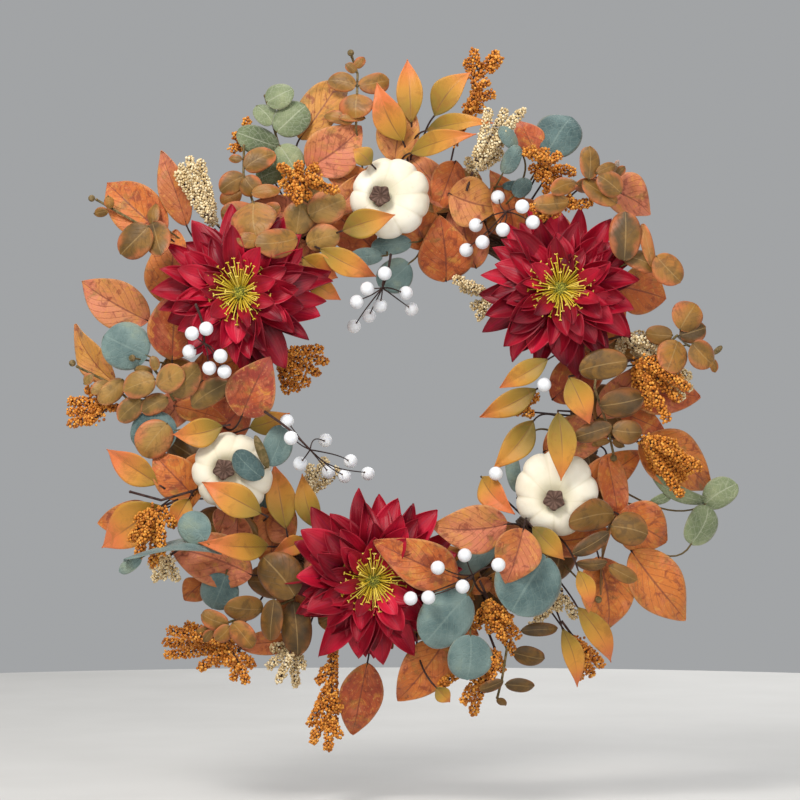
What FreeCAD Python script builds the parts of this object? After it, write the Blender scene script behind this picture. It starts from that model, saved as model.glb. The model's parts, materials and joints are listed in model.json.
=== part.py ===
"""Harvest door wreath: a grapevine ring with dahlias, foam pumpkins, leaf, seed and berry picks.

Millimetres. X is to the viewer's right, Z is up and the wreath faces -Y. The door is at +Y.
The origin is the point inside the top of the hanging loop that bears on the door hook.

The wreath is described as (u, v, depth): u to the right and v up from the ring's centre, and
depth forward from the hook. Picks are laid one after another, from the back to the front, and
each one comes forward just far enough to clear all that lies beneath it.
"""
import FreeCAD, Part
import math
import os
from FreeCAD import Vector

# Driving dimensions
RING_RADIUS = 162.0
VINE_RADIUS = 4.5
VINE_GAP = 0.3
RING_DEPTH = 18.0
TIE_COUNT = 12
TIE_WIRE = 1.2
LOOP_INSIDE = 13.0
LOOP_WIRE = 1.25
LINK_PLAY = 0.3
LEAF_THICK = 0.8
STEM_RADIUS = 1.1
TWIG_RADIUS = 0.8
SORGHUM_RADIUS = 3.2
MILLET_RADIUS = 3.0
BERRY_RADIUS = 6.0
KNOT_RADIUS = 2.2
FORK_RADII = (1.4, 1.5, 1.6, 1.75, 1.9, 2.1)
TWIG_END_GAP = 0.1
BERRY_PITCH = 12.5
BERRY_ROOM = 8.0
SWING_ROOM = 4.0
FOOT_REACH = 16.0

# How the picks lie
GAP = 0.7
CELL = 2.0
MOUND_EDGE = 14.0
MOUND_CROWN = 36.0
MOUND_REACH = 115.0
BACKMOST = 7.0

# Worked out from the above
VINE_PITCH = 2 * VINE_RADIUS + VINE_GAP
BUNDLE_RADIUS = VINE_PITCH + VINE_RADIUS
LOOP_RADIUS = LOOP_INSIDE + LOOP_WIRE
LINK_HEIGHT = -LOOP_INSIDE - LOOP_RADIUS
HANGER_ANGLE = math.radians(60)
LINK_TO_BUNDLE = RING_DEPTH / math.sin(HANGER_ANGLE)
DROP = RING_RADIUS - LINK_HEIGHT + LINK_TO_BUNDLE * math.cos(HANGER_ANGLE)

FORWARD = Vector(0, -1, 0)
parts = {}


def point(u, v, depth):
    """A place on the wreath, before the ring is hung below the hook."""
    return Vector(u, -depth, v)


def add(node, solid):
    parts.setdefault(node, []).append(solid)


def mound(u, v):
    """Depth that foliage takes over the ring's rounded body when nothing else lifts it."""
    off = abs(math.hypot(u, v) - RING_RADIUS) / MOUND_REACH
    return MOUND_EDGE + (MOUND_CROWN - MOUND_EDGE) * math.sqrt(max(0.0, 1 - off * off))


def limited(value, most):
    return max(-most, min(most, value))


def wobble(u, v):
    """A small repeatable variation from -1 to 1, so that no two leaves lie alike."""
    return math.sin(0.37 * u + 0.71 * v)


class Pile:
    """The front surface of all that has been laid, cell by cell."""

    def __init__(self):
        self.front = {}

    @staticmethod
    def cell(place):
        return int(math.floor(place.x / CELL)), int(math.floor(place.z / CELL))

    def depth(self, place):
        return self.front.get(self.cell(place), BACKMOST - GAP)

    def shift(self, backs):
        """How far forward these back points must move to clear the pile."""
        return max(self.depth(place) + GAP + place.y for place in backs)

    def cover(self, fronts):
        for place in fronts:
            column, row = self.cell(place)
            for i in (column - 1, column, column + 1):
                for j in (row - 1, row, row + 1):
                    if self.front.get((i, j), 0.0) < -place.y:
                        self.front[i, j] = -place.y


pile = Pile()


def placement(origin, along, facing):
    """Local x runs along, local z faces as nearly as it can towards facing."""
    x_axis = Vector(along).normalize()
    y_axis = facing.cross(x_axis).normalize()
    z_axis = x_axis.cross(y_axis)
    matrix = FreeCAD.Matrix(
        x_axis.x, y_axis.x, z_axis.x, origin.x,
        x_axis.y, y_axis.y, z_axis.y, origin.y,
        x_axis.z, y_axis.z, z_axis.z, origin.z,
        0, 0, 0, 1,
    )
    return FreeCAD.Placement(matrix)


def moved_forward(place, distance):
    return FreeCAD.Placement(place.Base + FORWARD * distance, place.Rotation)


def steps(low, high, pitch=CELL):
    count = max(1, math.ceil((high - low) / pitch))
    return [low + (high - low) * i / count for i in range(count + 1)]


# ---------------------------------------------------------------- ring and hanger


def hoop(radial, forward):
    centre = point(0, 0, RING_DEPTH + forward)
    return Part.makeTorus(RING_RADIUS + radial, VINE_RADIUS, centre, Vector(0, 1, 0))


def bundled_hoop(degrees):
    """One of the six hoops packed round the core, turned from the ring's outside to its front."""
    turn = math.radians(degrees)
    return hoop(VINE_PITCH * math.cos(turn), VINE_PITCH * math.sin(turn))


def staple_shape():
    """A wire U over the loop's lowest point, with its legs driven into the back outer vine."""
    bend = 2 * LOOP_WIRE + LINK_PLAY
    link = Vector(0, 0, LINK_HEIGHT + DROP)
    inward = Vector(0, -math.sin(HANGER_ANGLE), -math.cos(HANGER_ANGLE))
    across = Vector(0, inward.z, -inward.y)
    leg_length = LINK_TO_BUNDLE - VINE_PITCH + LOOP_WIRE
    pieces = [Part.makeTorus(bend, LOOP_WIRE, link, Vector(1, 0, 0))]
    below = Part.makeBox(40, 40, 20, Vector(-20, -20, 0))
    below.Placement = FreeCAD.Placement(link, FreeCAD.Rotation(Vector(0, 0, 1), inward))
    pieces[0] = pieces[0].cut(below)
    for side in (-bend, bend):
        pieces.append(Part.makeCylinder(LOOP_WIRE, leg_length, link + across * side, inward))
    return pieces[0].multiFuse(pieces[1:])


def build_ring():
    staple = staple_shape()
    add("vine_core", hoop(0, 0))
    for degrees in (60, 120):
        add("vines_front", bundled_hoop(degrees))
    for degrees in (0, 180, 240):
        add("vines_back", bundled_hoop(degrees))
    add("vines_back", bundled_hoop(300).cut(staple))
    add("hanging_staple", staple)
    loop_centre = Vector(0, 0, DROP - LOOP_INSIDE)
    add("hanging_loop", Part.makeTorus(LOOP_RADIUS, LOOP_WIRE, loop_centre, Vector(0, 1, 0)))
    tie_radius = BUNDLE_RADIUS + TIE_WIRE + VINE_GAP
    for i in range(TIE_COUNT):
        turn = 2 * math.pi * (i + 0.5) / TIE_COUNT
        centre = point(RING_RADIUS * math.cos(turn), RING_RADIUS * math.sin(turn), RING_DEPTH)
        tangent = Vector(-math.sin(turn), 0, math.cos(turn))
        add("binding_ties", Part.makeTorus(tie_radius, TIE_WIRE, centre, tangent))
    front = RING_DEPTH + tie_radius + TIE_WIRE
    for radius in steps(RING_RADIUS - tie_radius, RING_RADIUS + tie_radius):
        for turn in steps(0, 2 * math.pi, CELL / radius):
            pile.cover([point(radius * math.cos(turn), radius * math.sin(turn), front)])


# ---------------------------------------------------------------- leaves and stems


def round_half_width(share):
    return math.sqrt(max(0.0, 1 - (2 * share - 1) ** 2))


def ovate_half_width(share):
    return max(0.0, math.sin(math.pi * share**0.75)) ** 0.8


def lance_half_width(share):
    return max(0.0, math.sin(math.pi * share**0.8)) ** 1.1


OUTLINES = {"round": round_half_width, "ovate": ovate_half_width, "lance": lance_half_width}
OUTLINE_SHARES = (0.0, 0.06, 0.2, 0.42, 0.65, 0.85, 0.95, 1.0)


def outline_face(kind, length, width):
    """The flat outline, with its base at -length / 2 on the x axis and its tip opposite."""
    if kind == "round":
        ellipse = Part.Ellipse(Vector(0, 0, 0), max(length, width) / 2, min(length, width) / 2)
        edge = ellipse.toShape()
        if length < width:
            edge.rotate(Vector(0, 0, 0), Vector(0, 0, 1), 90)
        return Part.Face(Part.Wire([edge]))
    half_width = OUTLINES[kind]
    edges = []
    for side in (1, -1):
        places = []
        for share in OUTLINE_SHARES:
            across = 0.0 if share in (0.0, 1.0) else side * width / 2 * half_width(share)
            places.append(Vector(length * (share - 0.5), across, 0))
        curve = Part.BSplineCurve()
        curve.interpolate(places)
        edges.append(curve.toShape())
    return Part.Face(Part.Wire(edges))


# a leaf's sag over its length, and how its stalk joins it
SAG_SHARE = 0.055
STALK_OVERLAP = 0.08
STALK_RISE = 0.28
# how far the strip and the outline run past each other before they are cut
STRIP_END = 0.5
STRIP_SIDE = 1.0
OUTLINE_ROOM = 5.0


class Blade:
    """A leaf bowed along its length, convex to the front, with a stalk behind its base."""

    def __init__(self, kind, length, width, stalk):
        self.kind = kind
        self.length = length
        self.width = width
        self.stalk = stalk
        self.sag = SAG_SHARE * length
        half = length / 2
        self.bow = (half * half + self.sag * self.sag) / (2 * self.sag)

    def height(self, x):
        return math.sqrt(self.bow**2 - x * x) - (self.bow - self.sag)

    def backs(self):
        """Points over the back surface, in the blade's own frame."""
        places = []
        for x in steps(-self.length / 2, self.length / 2):
            half = self.width / 2 * OUTLINES[self.kind](x / self.length + 0.5)
            for y in steps(-half, half):
                places.append(Vector(x, y, self.height(x)))
        if self.stalk:
            for x in steps(-self.length / 2 - self.stalk, -self.length / 2):
                places.append(Vector(x, 0, -TWIG_RADIUS))
        return places

    def fronts(self):
        raised = []
        for place in self.backs():
            thick = LEAF_THICK if place.x >= -self.length / 2 else 2 * TWIG_RADIUS
            raised.append(place + Vector(0, 0, thick))
        return raised

    def solid(self):
        end = self.length / 2 + STRIP_END
        crown = self.height(0) + LEAF_THICK
        outer_bow = self.bow + LEAF_THICK
        drop = math.sqrt(outer_bow**2 - end * end) - outer_bow
        low = [Vector(x, 0, self.height(x)) for x in (-end, 0, end)]
        high = [Vector(x, 0, crown + (drop if x else 0)) for x in (end, 0, -end)]
        profile = Part.Wire([
            Part.Arc(*low).toShape(),
            Part.LineSegment(low[2], high[0]).toShape(),
            Part.Arc(*high).toShape(),
            Part.LineSegment(high[2], low[0]).toShape(),
        ])
        strip = Part.Face(profile).extrude(Vector(0, self.width + 2 * STRIP_SIDE, 0))
        strip.translate(Vector(0, -self.width / 2 - STRIP_SIDE, 0))
        face = outline_face(self.kind, self.length, self.width)
        face.translate(Vector(0, 0, -OUTLINE_ROOM))
        blade = face.extrude(Vector(0, 0, self.sag + 2 * OUTLINE_ROOM)).common(strip)
        if self.stalk:
            start = Vector(-self.length / 2 - self.stalk, 0, 0)
            reach = self.stalk + STALK_OVERLAP * self.length
            stalk = Part.makeCylinder(TWIG_RADIUS, reach, start, Vector(1, 0, STALK_RISE))
            blade = blade.fuse(stalk)
        return blade.Solids[0]


# tilts tried for a leaf until its base comes down on what is beneath it
LIFTS = (0.0, 0.12, 0.25, 0.4, 0.55, 0.75)
MOST_SLOPE = 0.9
MOUND_SLOPE = 0.4
SLOPE_WOBBLE = 0.08
MOUND_ROLL = 0.35
ROLL_WOBBLE = 0.12
BASE_SINK = 4.0


def lay_leaf(node, kind, leaf, stalk=0.0):
    """Lay one leaf, given as (base u, v, tip u, v, width), by its base on what is beneath."""
    u0, v0, u1, v1, width = leaf
    run = math.hypot(u1 - u0, v1 - v0)
    along_u, along_v = (u1 - u0) / run, (v1 - v0) / run
    mid_u, mid_v = (u0 + u1) / 2, (v0 + v1) / 2
    slope = limited((mound(u1, v1) - mound(u0, v0)) / run, MOUND_SLOPE)
    slope += SLOPE_WOBBLE * wobble(u1, v1)
    side_u, side_v = -along_v * width / 2, along_u * width / 2
    rise = mound(mid_u + side_u, mid_v + side_v) - mound(mid_u - side_u, mid_v - side_v)
    roll = limited(rise / width, MOUND_ROLL) + ROLL_WOBBLE * wobble(v0, u1)
    facing = Vector(along_v * roll, -1, -along_u * roll)
    best = None
    for lift in LIFTS:
        tilt = min(MOST_SLOPE, slope + lift)
        length = run * math.hypot(1, tilt)
        blade = Blade(kind, length, width, stalk)
        along = Vector(along_u, -tilt, along_v)
        place = placement(point(mid_u, mid_v, run * tilt / 2), along, facing)
        backs = [place.multVec(spot) for spot in blade.backs()]
        shift = pile.shift(backs)
        natural = mound(mid_u, mid_v) - run * tilt / 2
        base_depth = max(shift, natural)
        rest = max(pile.depth(point(u0, v0, 0)) + GAP, mound(u0, v0) - BASE_SINK)
        score = base_depth + 0.5 * run * tilt
        if best is None or score < best[0] - 0.5:
            best = (score, blade, moved_forward(place, base_depth))
        if base_depth < rest + 2:
            break
    blade, place = best[1:]
    solid = blade.solid()
    solid.Placement = place
    pile.cover([place.multVec(spot) for spot in blade.fronts()])
    add(node, solid)


def lay_stem(node, route, radius=STEM_RADIUS):
    """Lay a wire stem along a list of (u, v), with a ball at each bend."""
    spans = []
    for (u0, v0), (u1, v1) in zip(route, route[1:]):
        run = math.hypot(u1 - u0, v1 - v0)
        spans.append([
            (u0 + (u1 - u0) * s / run, v0 + (v1 - v0) * s / run) for s in steps(0, run)
        ])
    beneath = [max(pile.depth(point(u, v, 0)) for u, v in span) for span in spans]
    places = []
    for i, (u, v) in enumerate(route):
        around = max(beneath[max(0, i - 1): i + 1])
        depth = max(around + GAP + radius, mound(u, v) - 3)
        places.append(point(u, v, depth))
    pieces = []
    for start, end in zip(places, places[1:]):
        pieces.append(Part.makeCylinder(radius, (end - start).Length, start, end - start))
        for s in steps(0, 1, CELL / (end - start).Length):
            pile.cover([start + (end - start) * s + FORWARD * radius])
    for place in places[:-1] if len(places) > 2 else []:
        pieces.append(Part.makeSphere(radius, place))
    pieces.append(Part.makeSphere(1.25 * radius, places[-1]))
    pile.cover([places[-1] + FORWARD * 1.25 * radius])
    add(node, pieces[0].multiFuse(pieces[1:]).Solids[0])
    return places


def spray(node, kind, stems, leaves, stalk=0.0):
    """A pick: its stems, then its leaves from the back to the front."""
    for route in stems:
        lay_stem(node, route)
    for leaf in leaves:
        lay_leaf(node, kind, leaf, stalk)


def ball_spots(u, v, radius):
    """Back and front points of a ball whose centre is at depth 0."""
    backs = [point(u, v, -radius)]
    fronts = [point(u, v, radius)]
    for share in (0.35, 0.7, 1.0):
        reach = radius * math.sqrt(1 - share * share)
        for turn in steps(0, 2 * math.pi, 0.5):
            du, dv = share * radius * math.cos(turn), share * radius * math.sin(turn)
            backs.append(point(u + du, v + dv, -reach))
            fronts.append(point(u + du, v + dv, reach))
    return backs, fronts


def lay_ball(node, u, v, radius):
    backs, fronts = ball_spots(u, v, radius)
    depth = max(pile.shift(backs), mound(u, v))
    pile.cover([place + FORWARD * depth for place in fronts])
    add(node, Part.makeSphere(radius, point(u, v, depth)))


def buds(node, places, radius=3.0):
    for u, v in places:
        lay_ball(node, u, v, radius)


# ---------------------------------------------------------------- seed heads


BARE_SHARE = 0.4
FAN_LAYERS = 3


def branchlet_solid(length, radius, tail):
    """A round-ended rod along x for one beaded branchlet, on a thin tail."""
    swell = 1.5 * radius
    corners = [
        Vector(-tail, 0, 0),
        Vector(-tail, TWIG_RADIUS, 0),
        Vector(0, TWIG_RADIUS, 0),
        Vector(swell, radius, 0),
        Vector(length - swell, radius, 0),
        Vector(length, 0.3 * radius, 0),
        Vector(length, 0, 0),
    ]
    edges = [Part.LineSegment(near, far).toShape() for near, far in zip(corners, corners[1:])]
    crown = Vector(length - 0.35 * radius, 0.75 * radius, 0)
    edges[4] = Part.Arc(corners[4], crown, corners[5]).toShape()
    edges.append(Part.LineSegment(corners[-1], corners[0]).toShape())
    face = Part.Face(Part.Wire(edges))
    return face.revolve(Vector(0, 0, 0), Vector(1, 0, 0), 360)


def lay_branchlet(node, base, tip, radius):
    u0, v0 = base
    u1, v1 = tip
    run = math.hypot(u1 - u0, v1 - v0)
    along_u, along_v = (u1 - u0) / run, (v1 - v0) / run
    inset = BARE_SHARE * run
    tail = 0.6 * inset
    u0 += along_u * inset
    v0 += along_v * inset
    run -= inset
    slope = limited((mound(u1, v1) - mound(u0, v0)) / run, 0.35) + 0.1 * wobble(u1, v1)
    best = None
    for lift in LIFTS:
        tilt = min(MOST_SLOPE, slope + lift)
        place = placement(point(u0, v0, 0), Vector(along_u, -tilt, along_v), FORWARD)
        length = run * math.hypot(1, tilt)
        spots = []
        for x in steps(-tail, length):
            reach = radius if 0 < x < length - radius / 2 else 0.6 * radius
            for y in steps(-reach, reach):
                spots.append(Vector(x, y, -math.sqrt(max(0.0, radius**2 - y * y))))
        shift = pile.shift([place.multVec(spot) for spot in spots])
        depth = max(shift, mound(u0, v0) - 3)
        score = depth + 0.5 * run * tilt
        if best is None or score < best[0] - 0.5:
            best = (score, length, spots, moved_forward(place, depth))
    length, spots, place = best[1:]
    solid = branchlet_solid(length, radius, tail)
    solid.Placement = place
    pile.cover([place.multVec(Vector(spot.x, spot.y, -spot.z)) for spot in spots])
    add(node, solid)


def head(node, radius, hub, tips, spine=None):
    """A seed head: a short stem to the ring side of the hub, then branchlets from the hub."""
    distance = math.hypot(*hub)
    foot = max(-FOOT_REACH, min(FOOT_REACH, RING_RADIUS - distance))
    if abs(foot) < FOOT_REACH / 2:
        foot = FOOT_REACH / 2
    start = (hub[0] * (1 + foot / distance), hub[1] * (1 + foot / distance))
    lay_stem(node, [start, hub] + (spine or []))
    fan = sorted(tips, key=lambda tip: math.atan2(tip[1] - hub[1], tip[0] - hub[0]))
    for layer in range(FAN_LAYERS):
        for tip in fan[layer::FAN_LAYERS]:
            lay_branchlet(node, hub, tip, radius)


def pairs(node, radius, rods):
    """Branchlets given one by one as (base u, v, tip u, v)."""
    for u0, v0, u1, v1 in rods:
        lay_branchlet(node, (u0, v0), (u1, v1), radius)


# ---------------------------------------------------------------- pumpkins

PUMPKIN_LOBES = 8


def pumpkin(name, centre, radius, stem_at):
    """A foam pumpkin seen from its stem end."""
    lobe = 0.53 * radius
    ring = radius - lobe
    spots = []
    for x in steps(-radius, radius):
        half = math.sqrt(max(0.0, radius**2 - x * x))
        for y in steps(-half, half):
            off = max(0.0, math.hypot(x, y) - ring)
            spots.append((x, y, math.sqrt(max(0.0, lobe**2 - off * off))))
    u, v = centre
    depth = max(pile.shift([point(u + x, v + y, -z) for x, y, z in spots]), mound(u, v) + lobe)
    middle = point(u, v, depth)
    lobes = []
    for i in range(PUMPKIN_LOBES):
        turn = 2 * math.pi * i / PUMPKIN_LOBES
        offset = Vector(ring * math.cos(turn), 0, ring * math.sin(turn))
        lobes.append(Part.makeSphere(lobe, middle + offset))
    body = lobes[0].multiFuse(lobes[1:])
    rings = []
    for forward, size in ((0.35 * lobe, 7.5), (1.2 * lobe, 9.5)):
        corners = []
        for i in range(6):
            turn = math.pi + 2 * math.pi * i / 5
            corners.append(point(
                stem_at[0] + size * math.cos(turn), stem_at[1] + size * math.sin(turn),
                depth + forward,
            ))
        rings.append(Part.makePolygon(corners))
    stem = Part.makeLoft(rings, True, True)
    add(name + "_body", body.cut(stem).Solids[0])
    add(name + "_stem", stem.Solids[0])
    pile.cover([point(u + x, v + y, depth + z + 2) for x, y, z in spots])
    pile.cover([point(stem_at[0] + x, stem_at[1] + y, depth + 1.2 * lobe)
                for x in steps(-9, 9) for y in steps(-9, 9)])


# ---------------------------------------------------------------- dahlias

# share of the flower's radius, opening angle in degrees, number of petals
PETAL_LAYERS = (
    (1.0, 4, 13),
    (0.87, 10, 13),
    (0.73, 17, 12),
    (0.58, 25, 11),
    (0.42, 33, 9),
)
OUTER_LAYERS = 3
LAYER_TWIST = 0.4
LAYER_RISE = 2.0
PETAL_THICK = 0.9
CALYX_NECK = 4.0
CALYX_BACK = 8.0
STAMEN_REACH = 25.0


def layer_height(index, radius):
    angle = math.radians(PETAL_LAYERS[index][1])
    return LAYER_RISE * index + radius * math.tan(angle)


# the outline of half a petal: share of the half width in turn, and of the layer's radius
PETAL_OUTLINE = ((0.0, 1.0), (0.55, 0.86), (1.0, 0.62))


def petal_reach(index, turn, flower_radius):
    """How far out one layer of petals reaches in one direction."""
    share, _, count = PETAL_LAYERS[index]
    half = math.pi / count
    off = (turn - LAYER_TWIST * index + half) % (2 * half) - half
    across = abs(off) / half
    for (near, high), (far, low) in zip(PETAL_OUTLINE, PETAL_OUTLINE[1:]):
        if across <= far:
            reach = high + (low - high) * (across - near) / (far - near)
            return share * flower_radius * reach
    return share * flower_radius * PETAL_OUTLINE[-1][1]


def petal_layer(index, flower_radius):
    """One layer of pointed petals on a shallow cone about the z axis."""
    share, degrees, count = PETAL_LAYERS[index]
    radius = share * flower_radius
    hole = CALYX_NECK + 0.3
    profile = Part.makePolygon([
        Vector(hole, 0, layer_height(index, hole)),
        Vector(radius + 2, 0, layer_height(index, radius + 2)),
        Vector(radius + 2, 0, layer_height(index, radius + 2) + PETAL_THICK),
        Vector(hole, 0, layer_height(index, hole) + PETAL_THICK),
        Vector(hole, 0, layer_height(index, hole)),
    ])
    cone = Part.Face(profile).revolve(Vector(0, 0, 0), Vector(0, 0, 1), 360)
    corners = []
    half = math.pi / count
    for i in range(count):
        middle = 2 * half * i + LAYER_TWIST * index
        for turn in (-1.0, -0.55, 0.0, 0.55):
            spot = middle + turn * half
            reach = petal_reach(index, spot, flower_radius)
            corners.append(Vector(reach * math.cos(spot), reach * math.sin(spot), -5))
    corners.append(corners[0])
    star = Part.Face(Part.makePolygon(corners)).extrude(Vector(0, 0, flower_radius))
    return star.common(cone).Solids[0]


def stamen_boss():
    """The burst of stamens as one flared tuft inside the inner petals."""
    last = len(PETAL_LAYERS) - 1
    seat = layer_height(last, CALYX_NECK) + PETAL_THICK + GAP
    rim = layer_height(last, STAMEN_REACH) + PETAL_THICK + GAP + 1
    profile = Part.makePolygon([
        Vector(0, 0, seat),
        Vector(CALYX_NECK, 0, seat),
        Vector(STAMEN_REACH, 0, rim),
        Vector(STAMEN_REACH, 0, rim + 4),
        Vector(10, 0, seat + 12),
        Vector(0, 0, seat + 13),
        Vector(0, 0, seat),
    ])
    return Part.Face(profile).revolve(Vector(0, 0, 0), Vector(0, 0, 1), 360)


def calyx():
    """The green cup behind the petals, its wire stem and the neck that carries the layers."""
    last = len(PETAL_LAYERS) - 1
    seat = layer_height(last, CALYX_NECK) + PETAL_THICK + GAP
    profile = Part.makePolygon([
        Vector(0, 0, -CALYX_BACK),
        Vector(2.5, 0, -CALYX_BACK),
        Vector(9, 0, -0.6),
        Vector(CALYX_NECK, 0, -0.6),
        Vector(CALYX_NECK, 0, seat),
        Vector(0, 0, seat),
        Vector(0, 0, -CALYX_BACK),
    ])
    return Part.Face(profile).revolve(Vector(0, 0, 0), Vector(0, 0, 1), 360)


def dahlia(name, centre, radius, lean):
    """A dahlia facing the viewer, its face leaning by lean, (u, v) for each unit of depth."""
    facing = Vector(lean[0], -1, lean[1])
    place = placement(point(*centre, 0), Vector(1, lean[0], 0), facing)
    backs = []
    fronts = []
    for ring in steps(0, radius):
        for turn in steps(0, 2 * math.pi, CELL / max(ring, CELL)):
            layers = [
                layer_height(i, ring) for i in range(len(PETAL_LAYERS))
                if ring <= petal_reach(i, turn, radius) + 1
            ]
            if not layers:
                continue
            x, y = ring * math.cos(turn), ring * math.sin(turn)
            back = -CALYX_BACK if ring < 9 else min(layers)
            front = max(layers) + PETAL_THICK
            if ring <= STAMEN_REACH:
                front += 8
            backs.append(place.multVec(Vector(x, y, back)))
            fronts.append(Vector(x, y, front))
    place = moved_forward(place, max(pile.shift(backs), mound(*centre) + CALYX_BACK))
    shapes = {
        "outer_petals": [],
        "inner_petals": [],
        "stamens": [stamen_boss()],
        "calyx": [calyx()],
    }
    for index in range(len(PETAL_LAYERS)):
        group = "outer_petals" if index < OUTER_LAYERS else "inner_petals"
        shapes[group].append(petal_layer(index, radius))
    for group, solids in shapes.items():
        for solid in solids:
            solid.Placement = place
            add(name + "_" + group, solid)
    pile.cover([place.multVec(spot) for spot in fronts])


# ---------------------------------------------------------------- berries


def clear_along(u0, v0, u1, v1, shares, radius):
    """The least depth at which a wire of this radius clears the pile over part of a line."""
    spots = [point(u0 + (u1 - u0) * s, v0 + (v1 - v0) * s, 0) for s in shares]
    return max(pile.depth(spot) for spot in spots) + GAP + radius


def wire(start, end, radius, short=0.0):
    return Part.makeCylinder(radius, (end - start).Length - short, start, end - start)


def gap_to_line(spot, start, end):
    """How far a spot is from the straight line between two others."""
    along = end - start
    share = min(1.0, max(0.0, (spot - start).dot(along) / along.dot(along)))
    return (spot - start - along * share).Length


def crowded(centre, fork, lines, others):
    """Whether a berry or its twig is too near the rest of its spray."""
    if any((centre - other).Length < BERRY_PITCH for other in others):
        return True
    if any(gap_to_line(centre, *line) < BERRY_ROOM for line in lines):
        return True
    return any(gap_to_line(other, fork, centre) < BERRY_ROOM for other in others)


def mesh_volume(solid):
    """The volume inside a solid's mesh, negative if it is inside out."""
    spots, triangles = solid.tessellate(0.02)
    return sum(spots[a].dot(spots[b].cross(spots[c])) for a, b, c in triangles) / 6


def fused_twigs(knot, fork, centres):
    """The wires of a berry spray as one solid, with a fork ball of the first size that fuses well."""
    for ball in FORK_RADII:
        pieces = [Part.makeSphere(KNOT_RADIUS, knot), wire(knot, fork, STEM_RADIUS)]
        short = BERRY_RADIUS + TWIG_END_GAP
        pieces += [wire(fork, centre, TWIG_RADIUS, short) for centre in centres]
        whole = sum(piece.Volume for piece in pieces)
        solids = Part.makeSphere(ball, fork).multiFuse(pieces).Solids
        inside = mesh_volume(solids[0])
        if len(solids) == 1 and 0.75 * whole < inside < 1.05 * whole:
            break
    return solids[0]


def berry_spray(node, foot, hub, berries):
    """A spray of berries on twigs that fan from a hub, bent as one about a knot at its foot."""
    near = steps(0, 0.5, 0.05)
    stem_depth = clear_along(*foot, *hub, steps(0, 1, 0.05), KNOT_RADIUS)
    twig_depths = [clear_along(*hub, *berry, near, TWIG_RADIUS) for berry in berries]
    knot = point(*foot, stem_depth)
    fork = point(*hub, max([stem_depth] + twig_depths))
    lines = [(knot, fork)]
    centres = []
    for u, v in sorted(berries, key=lambda spot: -math.dist(spot, hub)):
        backs, _ = ball_spots(u, v, BERRY_RADIUS + SWING_ROOM)
        centre = point(u, v, max(pile.shift(backs), mound(u, v)))
        for s in steps(0.5, 0.9, 0.05):
            spot = fork + (centre - fork) * s
            lack = pile.depth(spot) + SWING_ROOM + TWIG_RADIUS + spot.y
            centre = centre + FORWARD * max(0.0, lack / s)
        while crowded(centre, fork, lines, centres):
            centre = centre + FORWARD * GAP
        centres.append(centre)
        lines.append((fork, centre))
    add(node, fused_twigs(knot, fork, centres))
    for centre in centres:
        add(node, Part.makeSphere(BERRY_RADIUS, centre))
        _, fronts = ball_spots(centre.x, centre.z, BERRY_RADIUS)
        pile.cover([place + FORWARD * -centre.y for place in fronts])
    return knot


# ---------------------------------------------------------------- the picks, back to front

PETIOLE = 9.0

# The leaves right against the ring: so many in each band, turned on by so much from base to tip
FILL_COUNT = 18
FILL_SWING = 0.24
# kind, radius at the base, radius at the tip, start in leaves, width
FILL_BANDS = (
    ("ovate", 132, 190, 0.0, 40),
    ("round", 206, 170, 0.5, 34),
    ("ovate", 172, 216, 0.75, 30),
)
# the picks that the filling leaves belong to, anticlockwise from the right
FILL_PICKS = {
    "ovate": ("rust_right_upper", "rust_top", "rust_left_upper",
              "rust_left_lower", "rust_bottom", "rust_right_lower"),
    "round": ("copper_upper_right", "copper_top", "copper_upper_left",
              "copper_lower_left", "copper_lower_left", "copper_lower_right"),
}


def lay_filling():
    """Leaves right against the ring, which show only through the gaps of the rest."""
    for kind, base_radius, tip_radius, start, width in FILL_BANDS:
        picks = FILL_PICKS[kind]
        for i in range(FILL_COUNT):
            share = (i + start) / FILL_COUNT
            turn = 2 * math.pi * share
            ahead = turn + FILL_SWING
            base = (base_radius * math.cos(turn), base_radius * math.sin(turn))
            tip = (tip_radius * math.cos(ahead), tip_radius * math.sin(ahead))
            pick = picks[int(share * len(picks)) % len(picks)]
            lay_leaf(pick, kind, (*base, *tip, width), PETIOLE)


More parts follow.
